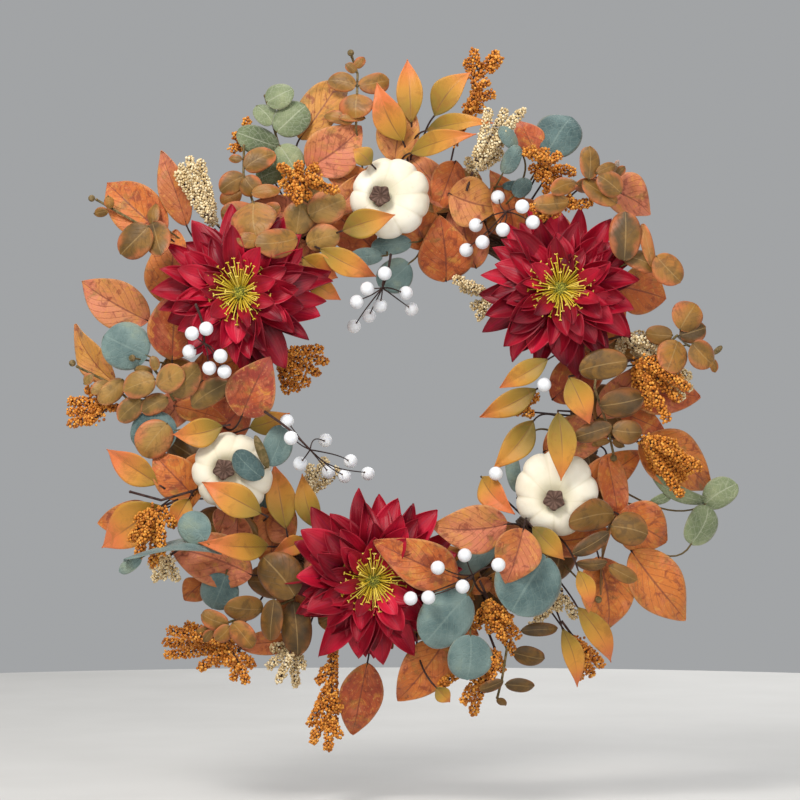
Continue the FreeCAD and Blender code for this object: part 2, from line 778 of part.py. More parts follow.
def lay_back_rust():
    """Large rust leaves that frame the wreath, behind everything else."""
    spray("rust_left_upper", "ovate", [], [
        (-200, 82, -196, 150, 46), (-203, 143, -258, 194, 44), (-184, 150, -210, 219, 28),
        (-247, 14, -286, 68, 28), (-218, 68, -280, 105, 42), (-196, 34, -192, 100, 45),
    ], PETIOLE)
    spray("rust_top", "ovate", [], [
        (-5, 205, 5, 265, 38), (-87, 226, -47, 288, 40), (-80, 200, -32, 238, 46),
        (-60, 160, -28, 199, 24), (48, 207, 31, 161, 30), (42, 178, 86, 166, 44),
        (40, 103, 34, 159, 48),
    ], PETIOLE)
    spray("rust_right_upper", "ovate", [], [
        (118, 215, 103, 246, 28), (176, 186, 220, 162, 42), (188, 98, 232, 88, 44),
        (190, -10, 230, -28, 24), (196, 5, 263, 3, 38), (205, -36, 273, -77, 50),
        (178, -46, 190, -112, 26),
    ], PETIOLE)
    spray("rust_right_lower", "ovate", [], [
        (188, -98, 233, -124, 46), (199, -130, 250, -192, 48), (170, -134, 180, -202, 48),
    ], PETIOLE)
    spray("rust_bottom", "ovate", [], [
        (40, -207, -4, -262, 42), (-28, -228, -42, -296, 38), (78, -154, 62, -168, 14),
    ], PETIOLE)
    spray("rust_left_lower", "ovate", [], [
        (-170, -158, -188, -175, 24), (-95, -210, -145, -214, 22), (-92, -118, -118, -100, 30),
        (-212, -96, -266, -107, 32), (-150, -92, -158, -115, 20), (-195, -5, -148, -18, 20),
        (-178, -82, -214, -46, 38), (-127, -151, -203, -127, 46),
    ], PETIOLE)
    spray("mustard_left", "lance", [], [
        (-204, -90, -262, -130, 38), (-181, -84, -198, -115, 20),
    ], 5.0)


def lay_back_heads():
    """Sorghum and millet that stick out past the edge or show between other picks."""
    sorghum = SORGHUM_RADIUS
    head("sorghum_top", sorghum, (52, 238), [(66, 246)], [(60, 255), (66, 275)])
    pairs("sorghum_top", sorghum, [
        (58, 250, 73, 255), (60, 260, 82, 266), (64, 262, 57, 250), (64, 270, 77, 276),
        (66, 280, 58, 298), (68, 285, 64, 306), (70, 285, 84, 304), (72, 282, 88, 298),
    ])
    head("sorghum_left", sorghum, (-125, 225), [(-135, 245), (-145, 230), (-148, 218)])
    head("sorghum_left", sorghum, (-238, -5), [(-290, -1)], [(-250, -8)])
    pairs("sorghum_left", sorghum, [
        (-248, -8, -290, -10), (-255, -12, -287, -21), (-262, -14, -272, -20),
        (-262, 4, -274, 10),
    ])
    head("millet_lower", MILLET_RADIUS, (-200, -135), [
        (-218, -146), (-212, -156), (-203, -154), (-192, -156),
    ])
    head("sorghum_bottom_left", sorghum, (-205, -92), [
        (-228, -104), (-233, -120), (-224, -136), (-212, -142), (-201, -132), (-193, -108),
        (-213, -120),
    ])
    head("sorghum_bottom_left", sorghum, (-140, -210), [
        (-186, -194), (-200, -198), (-206, -213), (-203, -222), (-178, -208),
        (-174, -232), (-160, -230),
    ])
    head("sorghum_bottom_left", sorghum, (-140, -218), [
        (-150, -228), (-142, -240), (-132, -242), (-127, -230),
    ])
    head("sorghum_bottom", sorghum, (-58, -226), [(-72, -246)], [(-60, -255), (-62, -285)])
    pairs("sorghum_bottom", sorghum, [
        (-59, -240, -72, -268), (-60, -255, -80, -282), (-61, -268, -76, -298),
        (-62, -275, -62, -303), (-61, -270, -52, -292), (-60, -248, -53, -270),
    ])
    head("sorghum_bottom", sorghum, (82, -215), [
        (88, -235), (78, -238), (70, -252), (64, -273), (55, -262), (35, -245), (60, -240),
    ])
    head("sorghum_bottom", sorghum, (75, -170), [
        (66, -198), (78, -200), (88, -205), (98, -220), (102, -205), (95, -188),
    ])
    head("sorghum_bottom", sorghum, (150, -205), [
        (177, -232), (168, -240), (158, -244), (165, -222),
    ])
    millet = MILLET_RADIUS
    head("millet_upper", millet, (-160, 147), [
        (-190, 203), (-182, 208), (-172, 207), (-192, 196), (-168, 190),
    ])
    head("millet_upper", millet, (62, 195), [
        (75, 248), (90, 250), (106, 249), (97, 240), (90, 226), (88, 214), (58, 208),
    ])
    head("millet_right", millet, (190, 55), [
        (217, 55), (223, 46), (238, 28), (250, 18), (249, 8), (243, 0), (190, 38),
    ])
    head("millet_right", millet, (80, 90), [
        (46, 106), (52, 98), (62, 80), (67, 70),
    ])
    head("millet_lower", millet, (-92, -210), [
        (-112, -216), (-114, -232), (-105, -245), (-92, -250), (-84, -232),
    ])
    head("millet_lower", millet, (140, -165), [(150, -188), (135, -182), (112, -200)])
    head("millet_lower", millet, (-82, -84), [(-65, -50), (-76, -56), (-53, -60)])


def lay_green():
    """Grey-green eucalyptus."""
    spray("green_upper_left", "round", [[(-100, 190), (-104, 216), (-114, 252), (-118, 266)]], [
        (-100, 200, -125, 190, 20), (-106, 220, -141, 232, 27), (-110, 240, -125, 256, 20),
        (-104, 220, -88, 194, 26), (-107, 232, -82, 256, 32), (-116, 258, -93, 270, 25),
    ])
    spray("green_top", "round", [], [
        (128, 214, 150, 248, 41), (100, 215, 85, 232, 14), (88, 184, 106, 185, 9),
        (98, 176, 112, 190, 16), (88, 194, 100, 216, 16), (10, 136, -25, 132, 18),
        (8, 118, -18, 98, 30), (-15, 124, -46, 120, 16),
    ], 4.0)
    spray("green_left", "round", [[(-165, -120), (-185, -128), (-240, -133)]], [
        (-192, -26, -233, -30, 38), (-217, 38, -255, 56, 42), (-150, -150, -162, -180, 34),
        (-218, -133, -238, -146, 12),
        (-165, -120, -185, -98, 28), (-112, -68, -125, -95, 20),
    ], 4.0)
    spray("green_right", "round", [[(215, -72), (240, -72), (256, -82), (268, -91)]], [
        (215, -88, 235, -80, 9), (262, -90, 290, -72, 26), (266, -92, 250, -124, 31),
        (82, -125, 50, -148, 24), (97, -43, 101, -80, 13), (98, -43, 115, -28, 14),
    ])


def lay_left_of_flowers():
    """Sprays that the left and bottom dahlias cover in part."""
    head("sorghum_left", SORGHUM_RADIUS, (-108, 40), [
        (-66, 44), (-62, 33), (-69, 23), (-78, 14), (-88, 8), (-97, 6),
    ])
    spray("copper_upper_left", "round", [[(-118, 150), (-126, 168), (-135, 195), (-135, 220)]], [
        (-136, 208, -148, 209, 8), (-134, 200, -108, 213, 22), (-138, 182, -156, 172, 16),
        (-134, 193, -155, 180, 20), (-134, 192, -122, 178, 20), (-128, 178, -103, 180, 13),
        (-122, 158, -103, 166, 16), (-122, 158, -154, 161, 26),
    ])
    spray("copper_top", "round", [[(-88, 134), (-85, 147), (-78, 158)]], [
        (-85, 170, -89, 142, 28), (-78, 158, -47, 172, 30), (-80, 134, -52, 142, 24),
    ])
    spray("mustard_inner", "lance", [], [
        (-84, 122, -52, 104, 28), (-82, 106, -48, 84, 18), (-70, 130, -16, 104, 22),
    ], PETIOLE)
    spray("mustard_left", "lance", [], [
        (-113, -126, -171, -121, 24), (-80, -121, -115, -136, 18), (-98, -112, -108, -52, 26),
        (-72, -112, -85, -61, 21),
    ], 5.0)
    spray("copper_lower_left", "round", [[(-92, -172), (-118, -182), (-150, -192), (-170, -198)]], [
        (-160, -194, -175, -199, 9), (-160, -197, -168, -207, 9), (-147, -192, -170, -183, 17),
        (-145, -193, -158, -206, 15), (-118, -180, -148, -176, 24), (-143, -190, -126, -212, 20),
        (-92, -174, -88, -220, 27), (-108, -171, -112, -207, 20), (-90, -168, -118, -135, 38),
    ])
    head("sorghum_top", SORGHUM_RADIUS, (-84, 187), [
        (-104, 200), (-88, 204), (-72, 203), (-103, 186), (-97, 175), (-88, 166),
        (-78, 172), (-66, 187), (-53, 178),
    ])


def lay_flowers():
    """The heavy heads, set on the leaves."""
    pumpkin("pumpkin_top", (-8, 173), 35, (-16, 174))
    pumpkin("pumpkin_left", (-143, -62), 35, (-149, -59))
    pumpkin("pumpkin_right", (134, -79), 37, (132, -85))
    dahlia("dahlia_left", (-135, 90), 78, (-0.06, 0.05))
    dahlia("dahlia_right", (135, 94), 77, (0.05, 0.04))
    dahlia("dahlia_bottom", (-24, -152), 80, (0.08, -0.12))


def lay_front_heads():
    """Sorghum that lies over the leaves."""
    sorghum = SORGHUM_RADIUS
    head("sorghum_top", sorghum, (128, 203), [
        (106, 212), (112, 218), (124, 218), (138, 213), (152, 197), (145, 183),
        (126, 178), (112, 200), (118, 190),
    ])
    pairs("sorghum_top", sorghum, [
        (140, 165, 165, 169), (148, 160, 143, 174), (127, 150, 112, 165),
    ])
    head("sorghum_right", sorghum, (203, 35), [
        (203, 8), (212, -8), (226, -19), (238, 0), (245, 10), (240, 18), (228, 33), (215, 22),
    ])
    head("sorghum_right", sorghum, (207, -32), [
        (222, -62), (232, -70), (240, -82), (245, -68), (250, -62), (255, -58), (243, -45),
        (235, -38),
    ])
    pairs("sorghum_right", sorghum, [(98, -12, 120, 5), (95, -8, 116, -12)])


def lay_copper():
    """Copper and olive eucalyptus sprays."""
    spray("copper_upper_left", "round", [[(-205, 150), (-222, 150), (-262, 173)]], [
        (-252, 163, -264, 161, 9), (-250, 165, -252, 176, 9), (-212, 150, -212, 170, 12),
        (-212, 152, -203, 124, 24), (-214, 148, -238, 124, 30),
    ])
    buds("copper_upper_left", [(-266, 174)])
    spray("copper_upper_left", "round", [], [
        (-124, 168, -122, 140, 40), (-118, 134, -138, 137, 14), (-87, 137, -122, 132, 26),
    ])
    spray("copper_top", "round", [[(-38, 235), (-37, 265), (-37, 285), (-42, 300)]], [
        (-40, 240, -66, 246, 12), (-30, 243, -53, 244, 8), (-37, 264, -38, 243, 31),
        (-38, 272, -63, 277, 18), (-36, 272, -9, 278, 20), (-39, 290, -31, 299, 9),
        (-38, 284, -47, 291, 9),
    ])
    buds("copper_top", [(-43, 303)])
    spray("copper_upper_right", "round", [[(150, 170), (163, 188), (188, 198)]], [
        (186, 193, 195, 202, 8), (143, 168, 113, 165, 18), (150, 185, 128, 176, 16),
        (155, 186, 184, 167, 20), (160, 187, 161, 216, 19), (166, 192, 183, 199, 10),
        (168, 190, 187, 175, 22),
    ])
    spray("copper_upper_right", "round", [[(190, 115), (213, 121)]], [
        (190, 122, 217, 112, 18), (215, 112, 206, 150, 11), (217, 122, 238, 100, 26),
        (190, 118, 191, 160, 28),
    ])
    spray("copper_right", "round", [[(222, 42), (236, 55), (250, 48), (270, 38)]], [
        (232, 55, 209, 57, 17), (273, 40, 281, 47, 5), (272, 36, 275, 24, 8),
        (238, 55, 261, 62, 20), (238, 60, 252, 82, 28), (236, 50, 226, 25, 28),
        (248, 48, 266, 30, 26),
    ])
    spray("copper_right", "round", [[(168, 40), (165, 10), (178, -20), (184, -46)]], [
        (152, 25, 193, 33, 26), (170, -5, 207, 2, 26), (181, -35, 165, -39, 7),
        (183, -35, 193, -40, 7), (180, -25, 206, -27, 21), (180, -22, 148, -32, 17),
    ])
    buds("copper_right", [(184, -50)])
    spray("copper_lower_right", "round", [[(180, -100), (178, -115), (176, -140), (171, -166)]], [
        (183, -97, 145, -104, 28), (180, -108, 212, -115, 29), (178, -113, 147, -131, 15),
        (176, -138, 150, -139, 11), (178, -141, 202, -154, 14),
    ])
    buds("copper_lower_right", [(170, -171)])
    spray("copper_lower_right", "round", [[(92, -215), (88, -240), (84, -257)]], [
        (98, -218, 125, -224, 18), (104, -198, 136, -197, 12), (88, -240, 68, -248, 11),
        (90, -243, 115, -245, 13), (84, -257, 91, -264, 8),
    ])
    spray("copper_left", "round", [[(-235, 0), (-250, 14), (-280, 29)]], [
        (-266, 22, -274, 14, 10), (-252, 15, -267, 6, 12), (-240, 18, -260, -2, 18),
    ])
    buds("copper_left", [(-284, 32), (-230, 36)])
    spray("copper_left", "round", [[(-195, 0), (-205, 17), (-215, 30)]], [
        (-178, -5, -147, 14, 22), (-200, -20, -222, -48, 32), (-222, 0, -243, -18, 20),
        (-213, 22, -228, 26, 12), (-210, 25, -213, 38, 9), (-200, 2, -222, -10, 18),
        (-210, 18, -238, 8, 24), (-195, 5, -172, 28, 25), (-208, 12, -186, 26, 24),
    ])


def lay_mustard():
    """Narrow mustard leaves with orange tips."""
    spray("mustard_top", "lance", [], [
        (-24, 200, -42, 216, 18), (10, 238, 6, 299, 23), (3, 222, -21, 275, 27),
        (29, 245, 63, 286, 27), (22, 231, 81, 238, 18), (8, 212, 66, 227, 21),
    ], PETIOLE)
    spray("mustard_inner", "lance", [], [(-50, 144, -2, 158, 25)], PETIOLE)
    spray("mustard_left", "lance", [[(-178, -78), (-205, -86), (-232, -79)]], [
        (-150, -22, -196, -30, 25), (-130, -24, -92, -11, 20), (-207, -73, -257, -42, 27),
        (-117, -97, -171, -69, 28),
    ], 5.0)
    spray("green_left", "round", [], [
        (-112, -56, -100, -22, 26), (-117, -66, -140, -44, 22), (-112, -58, -123, -30, 8),
    ])
    spray("mustard_right", "lance", [], [
        (119, 10, 66, -16, 22), (126, 35, 80, 8, 20), (70, -66, 98, -98, 24),
        (116, -17, 78, -62, 25), (143, 20, 162, -22, 25), (134, -9, 137, -71, 25),
    ], PETIOLE)
    spray("mustard_bottom", "lance", [], [
        (30, -245, 45, -262, 14), (139, -195, 155, -254, 18), (151, -176, 185, -230, 21),
        (151, -144, 164, -182, 16), (112, -107, 142, -138, 20),
    ], 5.0)


def lay_front_leaves():
    """Large leaves that lie over the flowers."""
    spray("rust_left_lower", "ovate", [], [(-134, -14, -110, 37, 44)], PETIOLE)
    spray("rust_bottom", "ovate", [], [
        (92, -106, 26, -108, 42), (50, -152, -23, -119, 42),
    ], PETIOLE)
    spray("green_right", "round", [], [
        (60, -200, 57, -239, 39), (58, -166, 22, -207, 46), (125, -133, 95, -180, 58),
    ])
    spray("rust_right_lower", "ovate", [], [(105, -109, 90, -157, 41)], PETIOLE)


def lay_berries():
    """Five sprays of white berries in front of everything, and two stray berries."""
    knots = []
    knots.append(berry_spray("berries_left", (-172, 80), (-165, 48), [
        (-175, 56), (-163, 60), (-178, 41), (-151, 37), (-161, 27), (-148, 24),
    ]))
    knots.append(berry_spray("berries_top", (-8, 124), (-15, 96), [
        (-13, 108), (-28, 95), (-37, 84), (-27, 73), (-17, 81), (-40, 64), (5, 92), (10, 79),
    ]))
    knots.append(berry_spray("berries_right", (94, 187), (90, 160), [
        (84, 174), (103, 163), (112, 150), (87, 144), (65, 150), (70, 134), (57, 129),
    ]))
    knots.append(berry_spray("berries_inner", (-114, -10), (-76, -42), [
        (-96, -18), (-92, -32), (-65, -35), (-85, -54), (-62, -62), (-48, -66), (-43, -53),
        (-28, -64),
    ]))
    knots.append(berry_spray("berries_bottom", (74, -168), (62, -149), [
        (55, -132), (32, -142), (83, -139), (53, -158), (9, -168), (24, -167),
    ]))
    for u, v in ((122, 13), (82, -63)):
        lay_ball("berries_single", u, v, BERRY_RADIUS)
    for knot in knots:
        print("knot", round(knot.x, 2), round(knot.y, 2), round(knot.z - DROP, 2))


def main():
    build_ring()
    lay_filling()
    lay_back_rust()
    lay_back_heads()
    lay_green()
    lay_left_of_flowers()
    lay_flowers()
    lay_front_heads()
    lay_copper()
    lay_mustard()
    lay_front_leaves()
    lay_berries()
    os.makedirs("parts", exist_ok=True)
    for node, solids in parts.items():
        shape = solids[0] if len(solids) == 1 else Part.makeCompound(solids)
        shape = shape.copy()
        shape.translate(Vector(0, 0, -DROP))
        shape.exportStep("parts/" + node + ".step")


main()
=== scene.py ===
"""Looks of the harvest door wreath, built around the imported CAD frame. Metres, +Z up, facing -Y."""
import json
import math
import random

import bmesh
import bpy
import numpy as np
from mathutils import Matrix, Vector

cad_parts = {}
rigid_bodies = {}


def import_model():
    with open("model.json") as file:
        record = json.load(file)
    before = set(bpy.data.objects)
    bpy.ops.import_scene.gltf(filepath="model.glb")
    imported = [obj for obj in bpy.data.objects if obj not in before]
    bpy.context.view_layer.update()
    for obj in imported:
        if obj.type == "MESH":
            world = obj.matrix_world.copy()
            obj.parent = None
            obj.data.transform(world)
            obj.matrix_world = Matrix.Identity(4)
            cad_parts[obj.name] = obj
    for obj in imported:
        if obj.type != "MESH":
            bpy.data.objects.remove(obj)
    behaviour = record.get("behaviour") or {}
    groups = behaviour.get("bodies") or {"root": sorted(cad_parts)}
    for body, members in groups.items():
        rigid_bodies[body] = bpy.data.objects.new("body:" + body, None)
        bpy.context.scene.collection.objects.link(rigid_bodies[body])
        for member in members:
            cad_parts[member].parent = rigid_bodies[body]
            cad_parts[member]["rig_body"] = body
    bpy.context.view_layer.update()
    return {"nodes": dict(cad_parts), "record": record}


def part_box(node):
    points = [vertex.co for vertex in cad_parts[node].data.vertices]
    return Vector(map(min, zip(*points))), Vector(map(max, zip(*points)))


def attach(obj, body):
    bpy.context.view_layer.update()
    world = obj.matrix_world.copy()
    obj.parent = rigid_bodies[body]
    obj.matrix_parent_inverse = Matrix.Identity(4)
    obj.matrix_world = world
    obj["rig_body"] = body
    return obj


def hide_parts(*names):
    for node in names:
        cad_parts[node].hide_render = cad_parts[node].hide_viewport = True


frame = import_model()
NODES = frame["nodes"]
BODY_OF = {node: NODES[node]["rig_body"] for node in NODES}
SLOT_OF = {part["node"]: part["material_slot"] for part in frame["record"]["subparts"]}
MM = 0.001
TURN = 2 * math.pi
GOLDEN_TURN = 2.39996  # steps of this angle spread evenly over a disc
FACE = np.array([0.0, -1.0, 0.0])


# ---------------- small helpers


def unit(v):
    v = np.asarray(v, dtype=float)
    return v / max(np.linalg.norm(v), 1e-12)


def smooth(x, low, high):
    t = np.clip((x - low) / (high - low), 0.0, 1.0)
    return t * t * (3 - 2 * t)


def facing(v):
    """A direction or its opposite, whichever looks to the front."""
    return v if v @ FACE > 0 else -v


def square_to(axis, hint):
    """Two directions square to an axis and to each other."""
    side = unit(np.cross(axis, hint))
    return side, np.cross(axis, side)


def spoke(turn, side, up):
    """The direction at an angle between two others."""
    return math.cos(turn) * side + math.sin(turn) * up


def angles(count):
    """Even steps round a circle, without the last one that would meet the first."""
    return np.linspace(0, TURN, count, endpoint=False)


def circle(turns, side, up, reach=1.0):
    """A spot for each angle, at one reach or at a reach of its own."""
    return np.outer(reach * np.cos(turns), side) + np.outer(reach * np.sin(turns), up)


def grid(along, columns):
    """Shares along a sheet and, from -1 to 1, across it."""
    return np.meshgrid(along, np.linspace(-1, 1, columns), indexing="ij")


def bowed(start, end, bow, side, steps):
    """Points from start to end, pushed aside the most in the middle."""
    share = np.linspace(0, 1, steps)
    return start + np.outer(share, end - start) + np.outer(bow * np.sin(share * math.pi), side)


def box_of(node):
    """The low and the high corner of a CAD node."""
    return [np.array(corner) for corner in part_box(node)]


def ring_faces(count, sides, closed=False):
    """The faces of a row of rings of points, with a lid on each end unless the row is closed."""
    faces = []
    for i in range(count if closed else count - 1):
        near, far = i * sides, (i + 1) % count * sides
        for j in range(sides):
            k = (j + 1) % sides
            faces.append([near + j, near + k, far + k, far + j])
    if not closed:
        faces.append(list(range(sides))[::-1])
        faces.append([(count - 1) * sides + j for j in range(sides)])
    return faces


def islands(node):
    """Each separate solid of a CAD node as (vertices, triangles)."""
    mesh = bmesh.new()
    mesh.from_mesh(NODES[node].data)
    bmesh.ops.remove_doubles(mesh, verts=mesh.verts, dist=2e-6)
    bmesh.ops.triangulate(mesh, faces=mesh.faces)
    mesh.verts.ensure_lookup_table()
    group = [-1] * len(mesh.verts)
    count = 0
    for start in mesh.verts:
        if group[start.index] >= 0:
            continue
        group[start.index] = count
        waiting = [start]
        while waiting:
            for edge in waiting.pop().link_edges:
                for other in edge.verts:
                    if group[other.index] < 0:
                        group[other.index] = count
                        waiting.append(other)
        count += 1
    places = np.array([v.co[:] for v in mesh.verts])
    triangles = np.array([[v.index for v in face.verts] for face in mesh.faces])
    mesh.free()
    group = np.array(group)
    solids = []
    for i in range(count):
        mine = np.flatnonzero(group == i)
        renumber = np.full(len(group), -1)
        renumber[mine] = np.arange(len(mine))
        solids.append((places[mine], renumber[triangles[group[triangles[:, 0]] == i]]))
    return solids


def facets(solid):
    """Centre, unit normal and area of each triangle."""
    places, triangles = solid
    a, b, c = (places[triangles[:, k]] for k in range(3))
    cross = np.cross(b - a, c - a)
    size = np.linalg.norm(cross, axis=1)
    return (a + b + c) / 3, cross / np.maximum(size, 1e-15)[:, None], size / 2


def principal(points, weights):
    """Weighted centre and the principal directions, the longest first, with their spreads."""
    centre = (points * weights[:, None]).sum(0) / weights.sum()
    off = points - centre
    values, vectors = np.linalg.eigh((off * weights[:, None]).T @ off / weights.sum())
    order = np.argsort(values)[::-1]
    return centre, vectors[:, order].T, np.sqrt(np.maximum(values[order], 0))


class Piece:
    """One mesh under construction, with a mark (along, across, chance) on each vertex."""

    def __init__(self, name):
        self.name = name
        self.places = []
        self.marks = []
        self.faces = []
        self.kinds = []
        self.count = 0

    def add(self, places, marks, faces, kind=0):
        self.places.append(np.asarray(places, dtype=float).reshape(-1, 3))
        self.marks.append(np.asarray(marks, dtype=float).reshape(-1, 3))
        self.faces.extend([[i + self.count for i in face] for face in faces])
        self.kinds.extend([kind] * len(faces))
        self.count += len(self.places[-1])

    def solid(self, solid, kind, chance=0.5):
        """A CAD solid's own surface."""
        places, triangles = solid
        self.add(places, np.tile([0.5, 0.0, chance], (len(places), 1)), triangles.tolist(), kind)

    def sheet(self, points, s, t, chance, thick, kind=0):
        """A closed thin sheet from a grid of front points, which are at s along it and t across it."""
        rows, columns = points.shape[:2]
        along = np.gradient(points, axis=0)
        across = np.gradient(points, axis=1)
        normal = np.cross(along, across)
        normal /= np.maximum(np.linalg.norm(normal, axis=2), 1e-12)[:, :, None]
        if (normal @ FACE).sum() < 0:
            normal = -normal
        back = points - normal * thick
        total = rows * columns
        faces = []
        for i in range(rows - 1):
            for j in range(columns - 1):
                a = i * columns + j
                faces.append([a, a + 1, a + columns + 1, a + columns])
                faces.append([total + a, total + a + columns, total + a + columns + 1, total + a + 1])
        rim = list(range(columns))
        rim += [i * columns + columns - 1 for i in range(1, rows)]
        rim += [(rows - 1) * columns + j for j in range(columns - 2, -1, -1)]
        rim += [i * columns for i in range(rows - 2, 0, -1)]
        for near, far in zip(rim, rim[1:] + rim[:1]):
            faces.append([far, near, total + near, total + far])
        both = np.concatenate([points.reshape(-1, 3), back.reshape(-1, 3)])
        marks = np.stack([s, t, np.full_like(s, chance)], axis=-1)
        self.add(both, [marks, marks], faces, kind)

    def tube(self, path, radii, kind=0, sides=8, chance=0.5, closed=False):
        """A tube along a path of points, with one radius for each or for all."""
        path = np.asarray(path, dtype=float)
        radii = np.broadcast_to(radii, len(path))
        if closed:
            tangents = np.roll(path, -1, 0) - np.roll(path, 1, 0)
        else:
            tangents = np.gradient(path, axis=0)
        tangents /= np.maximum(np.linalg.norm(tangents, axis=1), 1e-12)[:, None]
        side = unit(np.cross(tangents[0], [0.31, 0.83, 0.47]))
        rings = []
        marks = []
        turns = angles(sides)
        for i, (place, tangent) in enumerate(zip(path, tangents)):
            side = unit(side - tangent * (side @ tangent))
            rings.append(place + circle(turns, side, np.cross(tangent, side)) * radii[i])
            share = np.full(sides, i / max(1, len(path) - 1))
            marks.append(np.column_stack([share, turns / math.pi - 1, np.full(sides, chance)]))
        self.add(np.concatenate(rings), np.concatenate(marks), ring_faces(len(path), sides, closed), kind)

    def beads(self, centres, radii, kind, chances):
        """Small round beads."""
        shape, corners = BEAD
        for centre, radius, chance in zip(centres, radii, chances):
            marks = np.column_stack([shape[:, 2] * 0.5 + 0.5, shape[:, 0], np.full(len(shape), chance)])
            self.add(centre + shape * radius, marks, corners, kind)

    def ball(self, centre, radius, kind=0, chance=0.5, axis=(0, 0, 1), rings=12, sides=18, dimple=0.0):
        """A round berry with a small dimple on the side that its axis points to."""
        axis = unit(axis)
        side, up = square_to(axis, [0.2, 0.5, 0.84])
        tilt = np.linspace(0, math.pi, rings + 1)[1:-1]
        turn = angles(sides)
        t, u = np.meshgrid(tilt, turn, indexing="ij")
        reach = radius * (1 - dimple * np.exp(-((t / 0.35) ** 2)))
        points = (
            (reach * np.cos(t))[..., None] * axis
            + (reach * np.sin(t) * np.cos(u))[..., None] * side
            + (reach * np.sin(t) * np.sin(u))[..., None] * up
        ).reshape(-1, 3)
        points = np.vstack([points, axis * radius * (1 - dimple), -axis * radius]) + centre
        along = np.append((t / math.pi).reshape(-1), [0, 1])
        marks = np.column_stack([along, np.zeros(len(along)), np.full(len(along), chance)])
        last = rings - 2
        faces = [face[:1] + face[:0:-1] for face in ring_faces(last + 1, sides)[:-2]]
        top, bottom = len(points) - 2, len(points) - 1
        for j in range(sides):
            faces.append([top, j, (j + 1) % sides])
            faces.append([bottom, last * sides + (j + 1) % sides, last * sides + j])
        self.add(points, marks, faces, kind)

    def finish(self, node, materials):
        """Makes the object, which stands for the node and rides on its body."""
        mesh = bpy.data.meshes.new(self.name)
        mesh.from_pydata(np.concatenate(self.places).tolist(), [], self.faces)
        mark = mesh.attributes.new("mark", "FLOAT_VECTOR", "POINT")
        mark.data.foreach_set("vector", np.concatenate(self.marks).ravel())
        for material in materials:
            mesh.materials.append(material)
        mesh.polygons.foreach_set("material_index", self.kinds)
        mesh.polygons.foreach_set("use_smooth", [True] * len(self.faces))
        mesh.update()
        piece = bpy.data.objects.new(self.name, mesh)
        bpy.context.scene.collection.objects.link(piece)
        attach(piece, BODY_OF[node])
        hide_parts(node)


def bead_shape():
    mesh = bmesh.new()
    bmesh.ops.create_icosphere(mesh, subdivisions=1, radius=1.0)
    places = np.array([v.co[:] for v in mesh.verts])
    faces = [[v.index for v in face.verts] for face in mesh.faces]
    mesh.free()
    return places, faces


BEAD = bead_shape()


# ---------------- materials


class Value:
    """A node's output. +, - and * make the nodes that reckon with it."""

    def __init__(self, paint, socket):
        self.paint = paint
        self.socket = socket

    def __add__(self, other):
        return self.paint.math("ADD", self, other)

    def __sub__(self, other):
        return self.paint.math("SUBTRACT", self, other)

    def __mul__(self, other):
        return self.paint.math("MULTIPLY", self, other)


class Paint:
    """A short way to write a material's nodes."""

    def __init__(self, name, roughness=0.6, **sockets):
        self.material = bpy.data.materials.new(name)
        self.material.use_nodes = True
        self.tree = self.material.node_tree
        self.shader = self.tree.nodes["Principled BSDF"]
        self.fill(self.shader, {"Roughness": roughness})
        self.fill(self.shader, {socket.replace("_", " "): value for socket, value in sockets.items()})

    def fill(self, node, inputs):
        """Links a node's inputs to Values and sets the others to what is given."""
        for name, value in inputs.items():
            if isinstance(value, Value):
                self.tree.links.new(value.socket, node.inputs[name])
            else:
                node.inputs[name].default_value = value

    def node(self, kind, inputs, output=0, **settings):
        """One output of a new node."""
        made = self.tree.nodes.new(kind)
        for name, value in settings.items():
            setattr(made, name, value)
        self.fill(made, inputs)
        return Value(self, made.outputs[output])

    def math(self, operation, *terms):
        return self.node("ShaderNodeMath", dict(enumerate(terms)), operation=operation)

    def mark(self):
        """The marks of a piece: along, across and chance."""
        mark = self.node("ShaderNodeAttribute", {}, "Vector", attribute_name="mark")
        split = self.node("ShaderNodeSeparateXYZ", {0: mark}).socket.node
        return [Value(self, output) for output in split.outputs]

    def place(self):
        """Object coordinates."""
        return self.node("ShaderNodeTexCoord", {}, "Object")

    def noise(self, scale, detail=3.0, roughness=0.55, distortion=0.0, place=None):
        inputs = {"Scale": scale, "Detail": detail, "Roughness": roughness, "Distortion": distortion}
        return self.node("ShaderNodeTexNoise", {"Vector": place or self.place(), **inputs}, "Fac")

    def ramp(self, factor, *stops):
        """Colours at positions: (position, (r, g, b)), ..."""
        made = self.node("ShaderNodeValToRGB", {0: factor})
        elements = made.socket.node.color_ramp.elements
        while len(elements) < len(stops):
            elements.new(0.5)
        for element, (position, colour) in zip(elements, stops):
            element.position = position
            element.color = (*colour, 1)
        return made

    def band(self, factor, low, high):
        """0 below low, 1 above high, or the other way round if low is above high."""
        source = {"Value": factor, "From Min": min(low, high), "From Max": max(low, high)}
        target = {"To Min": float(low > high), "To Max": float(low < high)}
        return self.node("ShaderNodeMapRange", {**source, **target}, interpolation_type="SMOOTHSTEP")

    def colour(self, base, *layers):
        """The base colour, with each (mask, tint) laid over it in turn."""
        for mask, tint in layers:
            inputs = {"Factor": mask, 6: base, 7: (*tint, 1)}
            base = self.node("ShaderNodeMix", inputs, 2, data_type="RGBA")
        self.fill(self.shader, {"Base Color": base})

    def rough(self, value, low, high):
        """Roughness from low to high, as the value goes from 0 to 1."""
        inputs = {"Value": value, "To Min": low, "To Max": high}
        self.fill(self.shader, {"Roughness": self.node("ShaderNodeMapRange", inputs)})

    def bump(self, height, strength, distance):
        inputs = {"Height": height, "Strength": strength, "Distance": distance}
        self.fill(self.shader, {"Normal": self.node("ShaderNodeBump", inputs)})


